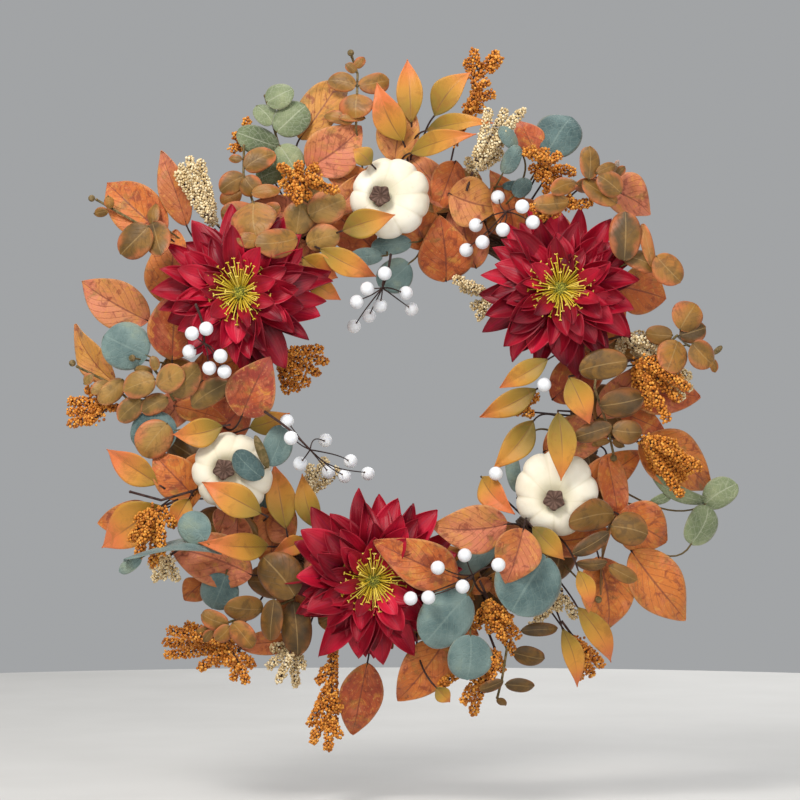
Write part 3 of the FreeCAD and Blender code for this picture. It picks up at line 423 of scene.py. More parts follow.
def leaf_pattern(paint, veins, slant):
    """Along, out to the margin, chance, the midrib's line and the side veins' lines."""
    along, across, chance = paint.mark()
    out = paint.math("ABSOLUTE", across)
    midrib = paint.band(out, 0.055, 0.015)
    place = along - out * slant + paint.noise(60.0) * 0.05
    wave = paint.math("FRACT", place * veins)
    side = paint.band(paint.math("ABSOLUTE", wave - 0.5), 0.055, 0.0)
    return along, out, chance, midrib, side


def leaf_surface(paint, lines, fine_scale, coarse_scale, low, high):
    """The roughness and the relief of leaf cloth, with sunken lines."""
    fine = paint.noise(fine_scale, 2.0)
    paint.rough(fine, low, high)
    paint.bump(fine * 0.3 - lines + paint.noise(coarse_scale), 0.4, 0.8 * MM)


def rust_material():
    paint = Paint("rust_leaf_cloth", 0.55, Sheen_Weight=0.15, Specular_IOR_Level=0.35)
    _, out, chance, midrib, side = leaf_pattern(paint, 8.0, 0.42)
    broad = paint.noise(22.0, 3.0, 0.6, 0.6)
    blots = paint.noise(95.0, 5.0, 0.65, 1.0)
    fine = paint.noise(420.0, 2.0)
    uneven = paint.node("ShaderNodeMapping", {"Vector": paint.place(), "Scale": (1.0, 1.6, 1.2)})
    paint.colour(
        paint.ramp(
            (chance * 0.9 + broad * 0.6) * 0.7,
            (0.18, (0.27, 0.030, 0.018)), (0.32, (0.46, 0.095, 0.018)), (0.44, (0.57, 0.165, 0.024)),
            (0.56, (0.42, 0.115, 0.025)), (0.68, (0.56, 0.165, 0.085)), (0.82, (0.50, 0.215, 0.035)),
        ),
        (paint.band(paint.noise(48.0, 3.0, 0.6), 0.52, 0.66) * 0.45, (0.55, 0.165, 0.075)),
        (paint.band(paint.noise(60.0, 4.0, 0.6, place=uneven), 0.55, 0.68) * 0.6, (0.22, 0.13, 0.02)),
        (paint.band(blots, 0.52, 0.64) * 0.7, (0.20, 0.03, 0.010)),
        (paint.band(blots, 0.46, 0.34) * 0.65, (0.60, 0.25, 0.04)),
        (paint.band(fine, 0.58, 0.75) * 0.5, (0.62, 0.29, 0.10)),
        (side * 0.55, (0.20, 0.045, 0.02)),
        (midrib * 0.7, (0.16, 0.03, 0.015)),
        (paint.band(out, 0.86, 1.0) * 0.4, (0.50, 0.25, 0.09)),
    )
    paint.rough(fine, 0.42, 0.68)
    paint.bump(fine * 0.35 - side * 0.9 + blots * 0.8, 0.5, 1.0 * MM)
    return paint.material


def mustard_material():
    paint = Paint("mustard_leaf_cloth", 0.5, Sheen_Weight=0.15, Specular_IOR_Level=0.4)
    along, _, chance, midrib, side = leaf_pattern(paint, 12.0, 0.55)
    share = along + (chance - 0.5) * 0.5 + paint.noise(45.0) * 0.25
    paint.colour(
        paint.ramp(
            share * 0.8,
            (0.05, (0.17, 0.115, 0.010)), (0.30, (0.36, 0.20, 0.016)), (0.52, (0.55, 0.235, 0.025)),
            (0.78, (0.64, 0.16, 0.04)),
        ),
        (paint.band(paint.noise(70.0, 5.0, 0.65, 0.8), 0.50, 0.64) * 0.45, (0.30, 0.12, 0.012)),
        (midrib * paint.band(along, 0.85, 0.35) * 0.75, (0.18, 0.07, 0.02)),
        (side * 0.30, (0.24, 0.12, 0.02)),
    )
    leaf_surface(paint, side, 500.0, 120.0, 0.42, 0.62)
    return paint.material


def copper_material(name, shades, edge, edge_share):
    """Round leaves that turn to the edge's tint towards an uneven rim."""
    paint = Paint(name, 0.5, Sheen_Weight=0.1, Specular_IOR_Level=0.4)
    along, out, chance, midrib, side = leaf_pattern(paint, 6.0, 0.5)
    reach = out + (paint.noise(55.0) - 0.5) * 1.8 + along * 0.25
    paint.colour(
        paint.ramp(paint.noise(40.0) + chance * 0.3 - 0.15, *zip((0.22, 0.40, 0.58, 0.8), shades)),
        (paint.band(reach, 0.6, 1.35) * edge_share, edge),
        (paint.band(paint.noise(80.0, 5.0, 0.65, 0.8), 0.48, 0.62) * 0.5, shades[0]),
        (midrib * 0.4, (0.42, 0.27, 0.10)),
        (side * 0.3, (0.09, 0.05, 0.018)),
    )
    leaf_surface(paint, side, 500.0, 110.0, 0.4, 0.6)
    return paint.material


def green_material(name, shades, vein, vein_share):
    """Round leaves with a net of pale veins."""
    paint = Paint(name, 0.6, Sheen_Weight=0.25, Specular_IOR_Level=0.3)
    _, out, chance, midrib, side = leaf_pattern(paint, 7.0, 0.45)
    cells = {"Vector": paint.place(), "Scale": 190.0}
    net = paint.node("ShaderNodeTexVoronoi", cells, "Distance", feature="DISTANCE_TO_EDGE")
    net = paint.band(net, 0.10, 0.0)
    paint.colour(
        paint.ramp(paint.noise(45.0) + chance * 0.35 - 0.17, *zip((0.25, 0.45, 0.65, 0.85), shades)),
        (net * (0.5 * vein_share), vein),
        (side * vein_share, vein),
        (midrib * (1.1 * vein_share), vein),
        (paint.band(out, 0.9, 1.0) * 0.35, (0.35, 0.30, 0.20)),
    )
    leaf_surface(paint, side + net, 450.0, 90.0, 0.5, 0.75)
    return paint.material


def petal_material():
    paint = Paint("petal_satin", 0.4, Sheen_Weight=0.04, Sheen_Roughness=0.4, Specular_IOR_Level=0.28)
    along, across, chance = paint.mark()
    ribs = paint.math("SINE", across * 26.0)
    paint.colour(
        paint.ramp(
            paint.noise(40.0, 2.0) + chance * 0.4 - 0.2,
            (0.2, (0.11, 0.001, 0.008)), (0.42, (0.23, 0.002, 0.012)), (0.62, (0.38, 0.003, 0.020)),
            (0.85, (0.56, 0.010, 0.04)),
        ),
        # painted shade: each petal darkens to near black towards its base, deep in the flower where the
        # rows overlap
        (paint.band(along, 0.5, 0.0) * 0.9, (0.045, 0.0, 0.008)),
        # painted shadow: a darker strip along each petal's middle fold
        (paint.band(paint.math("ABSOLUTE", across), 0.10, 0.0) * 0.45, (0.22, 0.0, 0.03)),
        (paint.band(ribs, 0.4, 1.0) * 0.12, (0.50, 0.015, 0.04)),
    )
    weave = paint.noise(900.0, 2.0)
    paint.rough(weave, 0.36, 0.55)
    paint.bump(ribs * 0.4 + weave * 0.3, 0.3, 0.4 * MM)
    return paint.material


def grain_material(name, *stops):
    """Small beads: each one its own tone."""
    paint = Paint(name, 0.6, Specular_IOR_Level=0.35)
    _, _, chance = paint.mark()
    paint.colour(paint.ramp(chance * 0.75 + paint.noise(700.0, 2.0) * 0.25, *stops))
    paint.bump(paint.noise(1400.0, 2.0), 0.3, 0.3 * MM)
    return paint.material


def bark_material(name, scale, roughness, *stops):
    """Rough bark or twig, with fibres that run along the tube."""
    paint = Paint(name, roughness, Specular_IOR_Level=0.25)
    _, across, chance = paint.mark()
    coarse = paint.noise(60.0 * scale, 5.0, 0.65)
    fibres = paint.math("SINE", across * 34.0 + coarse * 14.0)
    paint.colour(paint.ramp(coarse * 0.7 + fibres * 0.1 + chance * 0.2, *stops))
    paint.bump(fibres * 0.5 + coarse, 0.6, 1.2 * MM)
    return paint.material


def pumpkin_material():
    glow = {"Subsurface_Weight": 0.08, "Subsurface_Radius": (0.012, 0.009, 0.006)}
    paint = Paint("cream_foam", 0.55, Specular_IOR_Level=0.35, **glow)
    along, across, _ = paint.mark()
    paint.colour(
        paint.ramp(
            paint.noise(30.0),
            (0.3, (0.76, 0.67, 0.50)), (0.55, (0.84, 0.78, 0.64)), (0.8, (0.90, 0.86, 0.76)),
        ),
        (paint.band(across, 0.3, 0.0) * 0.28, (0.62, 0.54, 0.34)),
        (paint.band(paint.noise(230.0, 2.0), 0.66, 0.74) * 0.22, (0.60, 0.57, 0.28)),
        (paint.band(along, 0.16, 0.0) * 0.5, (0.55, 0.50, 0.25)),
    )
    fine = paint.noise(900.0)
    paint.rough(fine, 0.45, 0.7)
    paint.bump(fine + paint.noise(150.0) * 0.8, 0.25, 0.6 * MM)
    return paint.material


def berry_material():
    glow = {"Subsurface_Weight": 0.1, "Subsurface_Radius": (0.004, 0.004, 0.005)}
    paint = Paint("white_berry", 0.42, Specular_IOR_Level=0.4, **glow)
    along, _, _ = paint.mark()
    soft = paint.noise(160.0, 2.0)
    paint.colour(
        paint.ramp(soft, (0.3, (0.74, 0.76, 0.79)), (0.7, (0.83, 0.84, 0.86))),
        (paint.band(along, 0.07, 0.03), (0.30, 0.22, 0.18)),
    )
    paint.rough(soft, 0.35, 0.5)
    paint.bump(paint.noise(1400.0, 2.0), 0.15, 0.2 * MM)
    return paint.material


def wire_material():
    paint = Paint("dark_wire", 0.35, Metallic=0.8)
    wear = paint.noise(300.0)
    paint.colour(paint.ramp(wear, (0.35, (0.035, 0.03, 0.028)), (0.7, (0.10, 0.085, 0.07))))
    paint.rough(wear, 0.28, 0.5)
    paint.bump(wear, 0.2, 0.2 * MM)
    return paint.material


RUST = rust_material()
MUSTARD = mustard_material()
COPPER = copper_material(
    "copper_eucalyptus",
    ((0.075, 0.038, 0.005), (0.18, 0.085, 0.009), (0.30, 0.135, 0.015), (0.40, 0.135, 0.025)),
    (0.50, 0.13, 0.04), 0.9,
)
DARK_COPPER = copper_material(
    "olive_brown_eucalyptus",
    ((0.045, 0.024, 0.004), (0.11, 0.052, 0.006), (0.19, 0.09, 0.010), (0.27, 0.13, 0.02)),
    (0.30, 0.095, 0.02), 0.7,
)
TAN_COPPER = copper_material(
    "tan_eucalyptus",
    ((0.11, 0.065, 0.014), (0.24, 0.135, 0.026), (0.37, 0.20, 0.042), (0.46, 0.21, 0.055)),
    (0.54, 0.16, 0.06), 0.9,
)
GREEN = green_material(
    "grey_green_eucalyptus",
    ((0.045, 0.085, 0.085), (0.095, 0.155, 0.15), (0.155, 0.225, 0.21), (0.24, 0.29, 0.21)),
    (0.26, 0.34, 0.30), 0.28,
)
PALE_GREEN = green_material(
    "pale_green_eucalyptus",
    ((0.08, 0.105, 0.05), (0.135, 0.17, 0.08), (0.21, 0.245, 0.125), (0.31, 0.33, 0.17)),
    (0.44, 0.46, 0.33), 0.45,
)
PETAL = petal_material()
CREAM = pumpkin_material()
BERRY = berry_material()
WIRE = wire_material()
TWIG = bark_material("dark_twig", 4.0, 0.6, (0.3, (0.035, 0.018, 0.016)), (0.7, (0.11, 0.055, 0.045)))
OLIVE_TWIG = bark_material("olive_twig", 4.0, 0.55, (0.3, (0.12, 0.09, 0.03)), (0.7, (0.27, 0.18, 0.08)))
VINE = bark_material(
    "grapevine_bark", 1.0, 0.8,
    (0.25, (0.045, 0.026, 0.016)), (0.5, (0.13, 0.08, 0.05)), (0.75, (0.27, 0.19, 0.13)),
)
PUMPKIN_STEM = bark_material(
    "pumpkin_stem_brown", 2.0, 0.6, (0.3, (0.06, 0.03, 0.02)), (0.7, (0.20, 0.115, 0.085))
)
STAMEN = grain_material(
    "stamen_yellow", (0.1, (0.45, 0.34, 0.02)), (0.6, (0.70, 0.50, 0.03)), (0.95, (0.82, 0.66, 0.14))
)
SORGHUM = grain_material(
    "sorghum_beads", (0.1, (0.30, 0.085, 0.010)), (0.5, (0.62, 0.21, 0.018)), (0.95, (0.82, 0.40, 0.07))
)
MILLET = grain_material(
    "millet_beads", (0.1, (0.46, 0.32, 0.14)), (0.5, (0.74, 0.57, 0.31)), (0.95, (0.88, 0.78, 0.54))
)
CALYX = grain_material("calyx_green", (0.2, (0.14, 0.15, 0.02)), (0.8, (0.42, 0.38, 0.04)))


# ---------------- leaves

RING_LOW, RING_HIGH = box_of("vine_core")
RING_CENTRE = (RING_LOW + RING_HIGH) / 2
RING_REACH = (RING_HIGH[0] - RING_LOW[0]) / 2
VINE_RADIUS = (RING_HIGH[1] - RING_LOW[1]) / 2
RING_MIDDLE = RING_REACH - VINE_RADIUS
BUNDLE = box_of("vines_back")[1][0] - RING_HIGH[0] + VINE_RADIUS
FAR_OUT = 1.45 * RING_REACH  # leaves beyond this have their pick's outer tone
WIRE_LEAST = 3 * MM  # a foot nearer the vines than this needs no wire
STEM_JOIN = 12 * MM  # a stem this near another one is held by it
STALK_WIDTH = 1.2 * MM  # what is nearer the midrib than this may be stalk
END_STRIP = 1.2 * MM  # the stretch at each end where a leaf's thickness is measured
STALK_THICK, THICKER = 1.3 * MM, 0.3 * MM  # an end this thick, and this much thicker, is the stalk's
NEARLY_ROUND = 1.45  # a leaf whose two spreads differ by less than this has no clear length
LEAST_BEND = 0.02
WIDEST_COUNT = 6  # corners taken for the widest part of a blade
SAG_SHARE = 0.055  # how far a leaf's middle stands forward, as a share of its length
VEIN_SLOPE = 0.42


def to_ring(place):
    """The nearest spot inside the vine bundle and how far the place is off the bundle."""
    flat = (place - RING_CENTRE) * np.array([1, 0, 1])
    middle = RING_CENTRE + RING_MIDDLE * unit(flat)
    gap = np.linalg.norm(place - middle)
    return middle + unit(place - middle) * 0.7 * BUNDLE, gap - BUNDLE


def add_wire(piece, start, heading=None, steps=14):
    """The wire of a pick, from its foot back into the vines."""
    spot, gap = to_ring(start)
    if gap < WIRE_LEAST:
        return
    reach = np.linalg.norm(spot - start)
    if heading is None or heading @ (spot - start) < 0:
        heading = (spot - start) / reach
    bend = start + 0.35 * reach * heading
    bend[1] = 0.4 * start[1] + 0.6 * spot[1]
    share = np.linspace(0, 1, steps)[:, None]
    path = (1 - share) ** 2 * start + 2 * share * (1 - share) * bend + share**2 * spot
    piece.tube(path, np.linspace(0.8, 1.0, steps) * MM, 1, 6, 0.4)


def is_blade(solid):
    """A leaf is thin for its size. Stems and balls aren't."""
    centres, _, areas = facets(solid)
    _, _, spreads = principal(centres, areas)
    return spreads[1] > 1.2 * MM and spreads[2] < 0.30 * spreads[1] + 0.1 * MM


def bent_along(normals, areas, normal, along):
    """A nearly round leaf's length is the way it is bowed, if it is bowed enough to tell."""
    front = normals @ normal > 0.7
    turned = normals[front] - np.outer(normals[front] @ normal, normal)
    _, axes, bend = principal(turned, areas[front])
    if bend[0] > LEAST_BEND:
        along = unit(axes[0] - normal * (axes[0] @ normal))
    return along


def points_back(kind, x, y, z, ends, anchors):
    """Whether a leaf's base is at its far end along x. The ends are its near and far one."""
    wide = x[np.abs(y) > STALK_WIDTH]
    if kind != "round":
        widest = x[np.argsort(np.abs(y))[-WIDEST_COUNT:]].mean()
        return widest > (wide.min() + wide.max()) / 2
    near = np.ptp(z[x < x.min() + END_STRIP])
    far = np.ptp(z[x > x.max() - END_STRIP])
    if max(near, far) > STALK_THICK and abs(near - far) > THICKER:
        return far > near
    gaps = [np.linalg.norm(anchors - end, axis=1).min() for end in ends]
    return gaps[1] < gaps[0]


def leaf_placing(solid, anchors, kind):
    """(base, tip, direction across, width, stalk length) of one CAD leaf."""
    places, _ = solid
    centres, normals, areas = facets(solid)
    centre, axes, spreads = principal(centres, areas)
    normal = facing(axes[2])
    along = axes[0]
    if spreads[0] < NEARLY_ROUND * spreads[1]:
        along = bent_along(normals, areas, normal, along)
    across = np.cross(normal, along)
    x, y, z = ((places - centre) @ direction for direction in (along, across, normal))
    wide = np.abs(y) > STALK_WIDTH
    low, high = x[wide].min(), x[wide].max()
    if points_back(kind, x, y, z, [centre + along * low, centre + along * high], anchors):
        along, across, x = -along, -across, -x
        low, high = -high, -low
    blade = (x >= low - 0.1 * MM) & (x <= high + 0.1 * MM)
    edge = min(1.5 * MM, 0.15 * (high - low))
    base = centre + along * low + normal * z[blade & (x < low + edge)].mean()
    tip = centre + along * high + normal * z[blade & (x > high - edge)].mean()
    stalk = max(0.0, low - x.min())
    return base, tip, unit(across), np.abs(y[wide]).max() * 2, stalk


def half_widths(kind, share):
    if kind == "round":
        return np.sqrt(np.maximum(0, 1 - (2 * share - 1) ** 2)) ** 0.92
    if kind == "ovate":
        return np.sin(np.pi * share**0.75).clip(0) ** 0.8
    return np.sin(np.pi * share**0.8).clip(0) ** 1.1


LEAF_LOOKS = {
    # rows, columns, fold at the midrib, wave of the edge, vein relief, number of side veins, curl
    "ovate": (30, 17, 0.20, 0.028, 0.80 * MM, 8, 0.16),
    "lance": (26, 13, 0.30, 0.018, 0.40 * MM, 10, 0.14),
    "round": (18, 15, -0.20, 0.026, 0.30 * MM, 6, 0.08),
}


def add_leaf(piece, chance, kind, placing, kinds):
    """A bowed, folded and veined blade with its stalk, whose foot and heading are returned."""
    base, tip, across, width, stalk = placing
    rows, columns, fold, wave, relief, veins, curl = LEAF_LOOKS[kind]
    span = tip - base
    length = np.linalg.norm(span)
    along = span / length
    across = unit(across - along * (across @ along))
    normal = np.cross(along, across)
    if normal @ FACE < 0:
        across, normal = -across, -normal
    dice = random.Random(chance)
    share = (1 - np.cos(np.linspace(0.03, 1, rows) * math.pi)) / 2
    s, t = grid(share, columns)
    half = np.maximum(half_widths(kind, share), 0.02)[:, None] * width / 2
    lean = dice.uniform(-0.06, 0.06)
    phase = dice.uniform(0, 6.28)
    frill = np.sin(s * (9 if kind == "ovate" else 6) + phase + 2 * t) * wave * length * np.abs(t) ** 2
    bow = 4 * SAG_SHARE * length * s * (1 - s)
    cup = fold * half * (np.abs(t) if kind != "round" else t * t)
    vein = np.abs(((s - VEIN_SLOPE * np.abs(t)) * veins) % 1 - 0.5) * 2
    ridge = -relief * (1 - vein) ** 3 * smooth(np.abs(t), 0.0, 0.3) * (1 - np.abs(t) ** 3)
    groove = -relief * 1.4 * np.exp(-((t / 0.12) ** 2)) * (1 - s)
    droop = -dice.uniform(0.3, 1.0) * curl * length * smooth(s, 0.6, 1.0) ** 2
    twist = dice.uniform(-0.45, 0.45) * (s - 0.3)
    rise = bow + cup + frill + ridge + groove + droop + twist * t * half
    sway = lean * length * 4 * s * (1 - s)
    points = (
        base
        + (s * length)[..., None] * along
        + (t * half + sway)[..., None] * across
        + rise[..., None] * normal
    )
    piece.sheet(points, s, t, dice.random(), 0.45 * MM, kinds[0])
    if stalk <= 0:
        return None
    reach = np.linspace(-stalk, 0.06 * length, 7)
    lift = -0.3 * MM - 0.4 * MM * np.sin(np.linspace(0, 3.1, 7))
    path = base + np.outer(reach, along) + np.outer(lift, normal)
    piece.tube(path, np.linspace(0.95, 0.6, 7) * MM, kinds[1], 7)
    return path[0], -along


def leaf_piece(node, kind, leaf_material, twig_material, far_material):
    """All the leaves of one node in detail, with the CAD's own stems and buds."""
    solids = islands(node)
    blades = [solid for solid in solids if is_blade(solid)]
    others = [solid for solid in solids if not is_blade(solid)]
    anchors = np.concatenate([places for places, _ in others]) if others else ring_points()
    piece = Piece(node + "_detail")
    for index, solid in enumerate(blades):
        placing = leaf_placing(solid, anchors, kind)
        far = np.linalg.norm((placing[0] + placing[1]) / 2 - RING_CENTRE) > FAR_OUT
        foot = add_leaf(piece, f"{node}{index}", kind, placing, (2 if far else 0, 1))
        if foot and (kind != "round" or not others):
            add_wire(piece, *foot)
    for index, solid in enumerate(others):
        piece.solid(solid, 1, (index * 0.37) % 1)
    feet = [min(places, key=lambda place: to_ring(place)[1]) for places, _ in others]
    for foot in feet:
        nearer = [
            np.linalg.norm(places - foot, axis=1).min()
            for other, (places, _) in zip(feet, others)
            if to_ring(other)[1] < to_ring(foot)[1]
        ]
        if not nearer or min(nearer) > STEM_JOIN:
            add_wire(piece, foot)
    piece.finish(node, [leaf_material, twig_material, far_material])


def ring_points(count=90):
    turn = np.linspace(0, TURN, count)
    return RING_CENTRE + RING_REACH * np.column_stack([np.cos(turn), np.zeros(count), np.sin(turn)])


# shape, cloth and twig of each kind of leaf
LEAF_KINDS = {
    "rust_leaf": ("ovate", RUST, TWIG),
    "mustard_leaf": ("lance", MUSTARD, TWIG),
    "copper_leaf": ("round", COPPER, OLIVE_TWIG),
    "green_leaf": ("round", GREEN, OLIVE_TWIG),
}
# picks dyed apart from the rest of their kind: the tone near the ring and the tone far out
LEAF_TONES = {
    "green_right": (GREEN, PALE_GREEN),
    "green_upper_left": (PALE_GREEN, PALE_GREEN),
    "copper_right": (DARK_COPPER, COPPER),
    "copper_lower_right": (DARK_COPPER, DARK_COPPER),
    "copper_lower_left": (DARK_COPPER, COPPER),
    "copper_left": (TAN_COPPER, TAN_COPPER),
    "copper_top": (TAN_COPPER, COPPER),
}
for name in sorted(NODES):
    if SLOT_OF[name] in LEAF_KINDS:
        shape, cloth, twig = LEAF_KINDS[SLOT_OF[name]]
        near, far = LEAF_TONES.get(name, (cloth, cloth))
        leaf_piece(name, shape, near, twig, far)


# ---------------- seed heads

HUB_APART = 6 * MM  # rods whose feet are nearer than this share a foot
JOIN_REACH = 34 * MM  # a foot farther from its neighbours than this has its own wire
ROD_SPREAD = 3.2 * MM  # what is wider than this isn't a straight rod
ROD_THINNEST, ROD_THICKEST = 1.9 * MM, 5 * MM
TWIG_RADIUS = 0.7 * MM


def scatter_beads(piece, spots, bead, dice):
    piece.beads(spots, dice.uniform(0.42, 0.60, len(spots)) * bead, 0, dice.random(len(spots)))


def add_head(piece, solid, bead, jitter, dice):
    """Beads in a spiral round a branchlet's rod, whose foot is returned. Other solids stay as they are."""
    places, _ = solid
    centres, _, areas = facets(solid)
    centre, axes, spreads = principal(centres, areas)
    axis = axes[0]
    x = (places - centre) @ axis
    off = np.linalg.norm((places - centre) - np.outer(x, axis), axis=1)
    radius = off.max()
    if spreads[1] >= ROD_SPREAD or not ROD_THINNEST <= radius < ROD_THICKEST:
        piece.solid(solid, 1)
        return None
    fat = x[off > 0.8 * radius]
    low, high = fat.min(), fat.max()
    if x.max() - high > low - x.min():
        axis, low, high, x = -axis, -high, -low, -x
    tail, tip = x.min(), x.max()
    side, up = square_to(axis, [0.3, 0.4, 0.86])
    start = low - 0.85 * (low - tail)
    count = int((tip - start) * TURN * radius / (bead * bead * 0.85))
    order = (np.arange(count) + 0.5) / count
    along = start + (tip - start) * order
    swell = np.interp(along, [start, low, high, tip], [0.70, 1.08, 1.0, 0.30])
    turn = np.arange(count) * GOLDEN_TURN + dice.uniform(0, 6)
    reach = radius * swell * dice.uniform(1 - jitter, 1 + jitter, count)
    bend = 0.04 * (tip - start) * np.sin(order * 3.1 + dice.uniform(0, 6))
    spots = (
        centre
        + np.outer(along + dice.normal(0, 0.25 * bead, count), axis)
        + np.outer(reach * np.cos(turn) + bend, side)
        + np.outer(reach * np.sin(turn), up)
    )
    scatter_beads(piece, spots, bead, dice)
    path = [centre + axis * value for value in np.linspace(tail, tip - radius, 6)]
    piece.tube(path, TWIG_RADIUS, 1, 6)
    return path[0]


def seed_piece(node, material, bead, jitter):
    """The beaded heads of one node, joined by beaded twigs and wired into the ring."""
    piece = Piece(node + "_seeds")
    dice = np.random.default_rng(sum(map(ord, node)))
    hubs = []
    for solid in islands(node):
        foot = add_head(piece, solid, bead, jitter, dice)
        if foot is not None and all(np.linalg.norm(foot - hub) > HUB_APART for hub in hubs):
            hubs.append(foot)
    hubs.sort(key=lambda hub: to_ring(hub)[1])
    add_wire(piece, hubs[0])
    for index, hub in enumerate(hubs[1:], 1):
        near = min(hubs[:index], key=lambda other: np.linalg.norm(other - hub))
        gap = np.linalg.norm(near - hub)
        if gap > JOIN_REACH:
            add_wire(piece, hub)
            continue
        side = unit(np.cross(near - hub, FACE))
        piece.tube(bowed(hub, near, 0.06 * gap, side, 8), TWIG_RADIUS, 1, 6)
        count = int(gap / bead * 4)
        spots = hub + np.outer(dice.random(count), near - hub) + dice.normal(0, 0.9 * bead, (count, 3))
        scatter_beads(piece, spots, bead, dice)
    piece.finish(node, [material, TWIG])


SEED_KINDS = {"sorghum_orange": (SORGHUM, 2.7 * MM, 0.30), "millet_cream": (MILLET, 2.4 * MM, 0.35)}
for name in sorted(NODES):
    if SLOT_OF[name] in SEED_KINDS:
        seed_piece(name, *SEED_KINDS[SLOT_OF[name]])


# ---------------- dahlias

# rows of petals: share of radius, count, rise angle in degrees, width in mm, twist
PETAL_ROWS = (
    (1.00, 14, 1, 29, 0.0), (0.93, 14, 7, 28, 0.24), (0.82, 13, 14, 26, 0.55),
    (0.70, 11, 21, 25, 0.2), (0.57, 9, 29, 21, 0.65), (0.44, 7, 39, 16, 0.1),
)
OUTER_ROWS = 3
WIDTHS_FIT = 76 * MM  # the flower's radius that the widths are meant for
PETAL_START = 5.0 * MM
ROW_RISE = 1.7 * MM
SEAT = 8 * MM  # from the back of the calyx to the first row
STAMENS = 64
BUTTONS = 60  # buds on the dome in the middle
BUTTON_REACH, BUTTON_DOME, BUTTON_HEIGHT = 7 * MM, 8 * MM, 9 * MM
SEPALS = 9


def add_petal(piece, flower, turn, length, rise, width, height, dice):
    """One pointed petal, cupped along its length, with a rolled edge and a reflexed tip."""
    centre, axis, side, up = flower
    out = spoke(turn, side, up)
    across = -math.sin(turn) * side + math.cos(turn) * up
    s, t = grid(np.linspace(0, 1, 20), 11)
    shape = np.sin(math.pi * np.clip(0.1 + 0.9 * s, 0, 1) ** 1.35).clip(0) ** (0.55 + 0.25 * s)
    half = np.maximum(shape, 0.02) * width / 2
    cup = dice.uniform(0.45, 1.1) * (0.6 + 0.4 * s)
    angle = t * cup * 1.6
    curve = half / np.maximum(cup * 1.6, 0.2)
    y = curve * np.sin(angle)
    z = curve * (1 - np.cos(angle))
    climb = math.tan(math.radians(rise + dice.uniform(-4, 6)))
    reflex = dice.uniform(-0.08, 0.22) * length * smooth(s, 0.5, 1.0)
    wave = 0.045 * length * np.sin(6 * s + dice.uniform(0, 6)) * t
    fold = -0.8 * MM * np.exp(-((t / 0.16) ** 2)) * (1 - 0.5 * s)
    crease = 0.25 * MM * np.cos(t * 14) * smooth(s, 0.05, 0.4)
    bend = dice.uniform(-0.13, 0.13) * length * s * s
    roll = dice.uniform(-0.75, 0.75) * s
    y_turned = y * np.cos(roll) - z * np.sin(roll)
    z_turned = y * np.sin(roll) + z * np.cos(roll)
    x = PETAL_START + s * (length - PETAL_START)
    belly = 0.05 * length * np.sin(math.pi * s)
    z_all = height + x * climb + belly + z_turned - reflex + wave + fold + crease
    points = centre + x[..., None] * out + (y_turned + bend)[..., None] * across + z_all[..., None] * axis
    piece.sheet(points, s, t, dice.random(), 0.4 * MM)


def add_stamen(piece, root, out, axis, reach, lift, dice):
    """One curved filament with a small forked head."""
    share = np.linspace(0, 1, 7)
    path = root + np.outer(reach * share**1.35, out) + np.outer(lift * np.sin(share * 1.5), axis)
    tone = dice.random()
    piece.tube(path, np.linspace(0.8, 0.45, 7) * MM, 0, 5, tone)
    heading = unit(path[-1] - path[-2])
    side, up = square_to(heading, axis + 0.01)
    for prong in range(4):
        aim = unit(heading * 0.55 + spoke(prong * math.pi / 2 + tone * 3, side, up))
        far = path[-1] + aim * dice.uniform(1.6, 2.4) * MM
        elbow = (path[-1] + far) / 2 + heading * 0.2 * MM
        radii = (0.5 * MM, 0.65 * MM, 0.4 * MM)
        piece.tube([path[-1], elbow, far], radii, 0, 4, min(1.0, tone + 0.3))


def add_petals(name, flower, reach, dice):
    outer = Piece(name + "_outer_petals_detail")
    inner = Piece(name + "_inner_petals_detail")
    for row, (share, count, rise, width, twist) in enumerate(PETAL_ROWS):
        piece = outer if row < OUTER_ROWS else inner
        for i in range(count):
            turn = TURN * (i + dice.uniform(-0.3, 0.3)) / count + twist
            length = share * reach * dice.uniform(0.86, 1.03)
            broad = width * MM * reach / WIDTHS_FIT * dice.uniform(0.78, 1.12)
            add_petal(piece, flower, turn, length, rise, broad, row * ROW_RISE, dice)
    outer.finish(name + "_outer_petals", [PETAL])
    inner.finish(name + "_inner_petals", [PETAL])


def add_stamens(name, flower, dice):
    """The burst of stamens and the dome of buds in its middle."""
    centre, axis, side, up = flower
    tuft = Piece(name + "_stamens_detail")
    height = len(PETAL_ROWS) * ROW_RISE + 2 * MM
    for i in range(STAMENS):
        start = math.sqrt((i + 0.5) / STAMENS)
        out = spoke(i * GOLDEN_TURN, side, up)
        root = centre + axis * height + out * (2 + 4 * start) * MM
        lift = dice.uniform(13, 19) * MM * (1.15 - 0.35 * start)
        add_stamen(tuft, root, out, axis, (6 + 17 * start) * MM, lift, dice)
    buttons = []
    for i in range(BUTTONS):
        start = math.sqrt((i + 0.5) / BUTTONS) * BUTTON_REACH
        rise = height + BUTTON_HEIGHT * math.sqrt(max(0.0, 1 - (start / BUTTON_DOME) ** 2))
        buttons.append(centre + axis * rise + spoke(i * GOLDEN_TURN, side, up) * start)
    tuft.beads(buttons, [1.15 * MM] * BUTTONS, 1, [dice.random() for _ in buttons])
    tuft.finish(name + "_stamens", [STAMEN, CALYX])


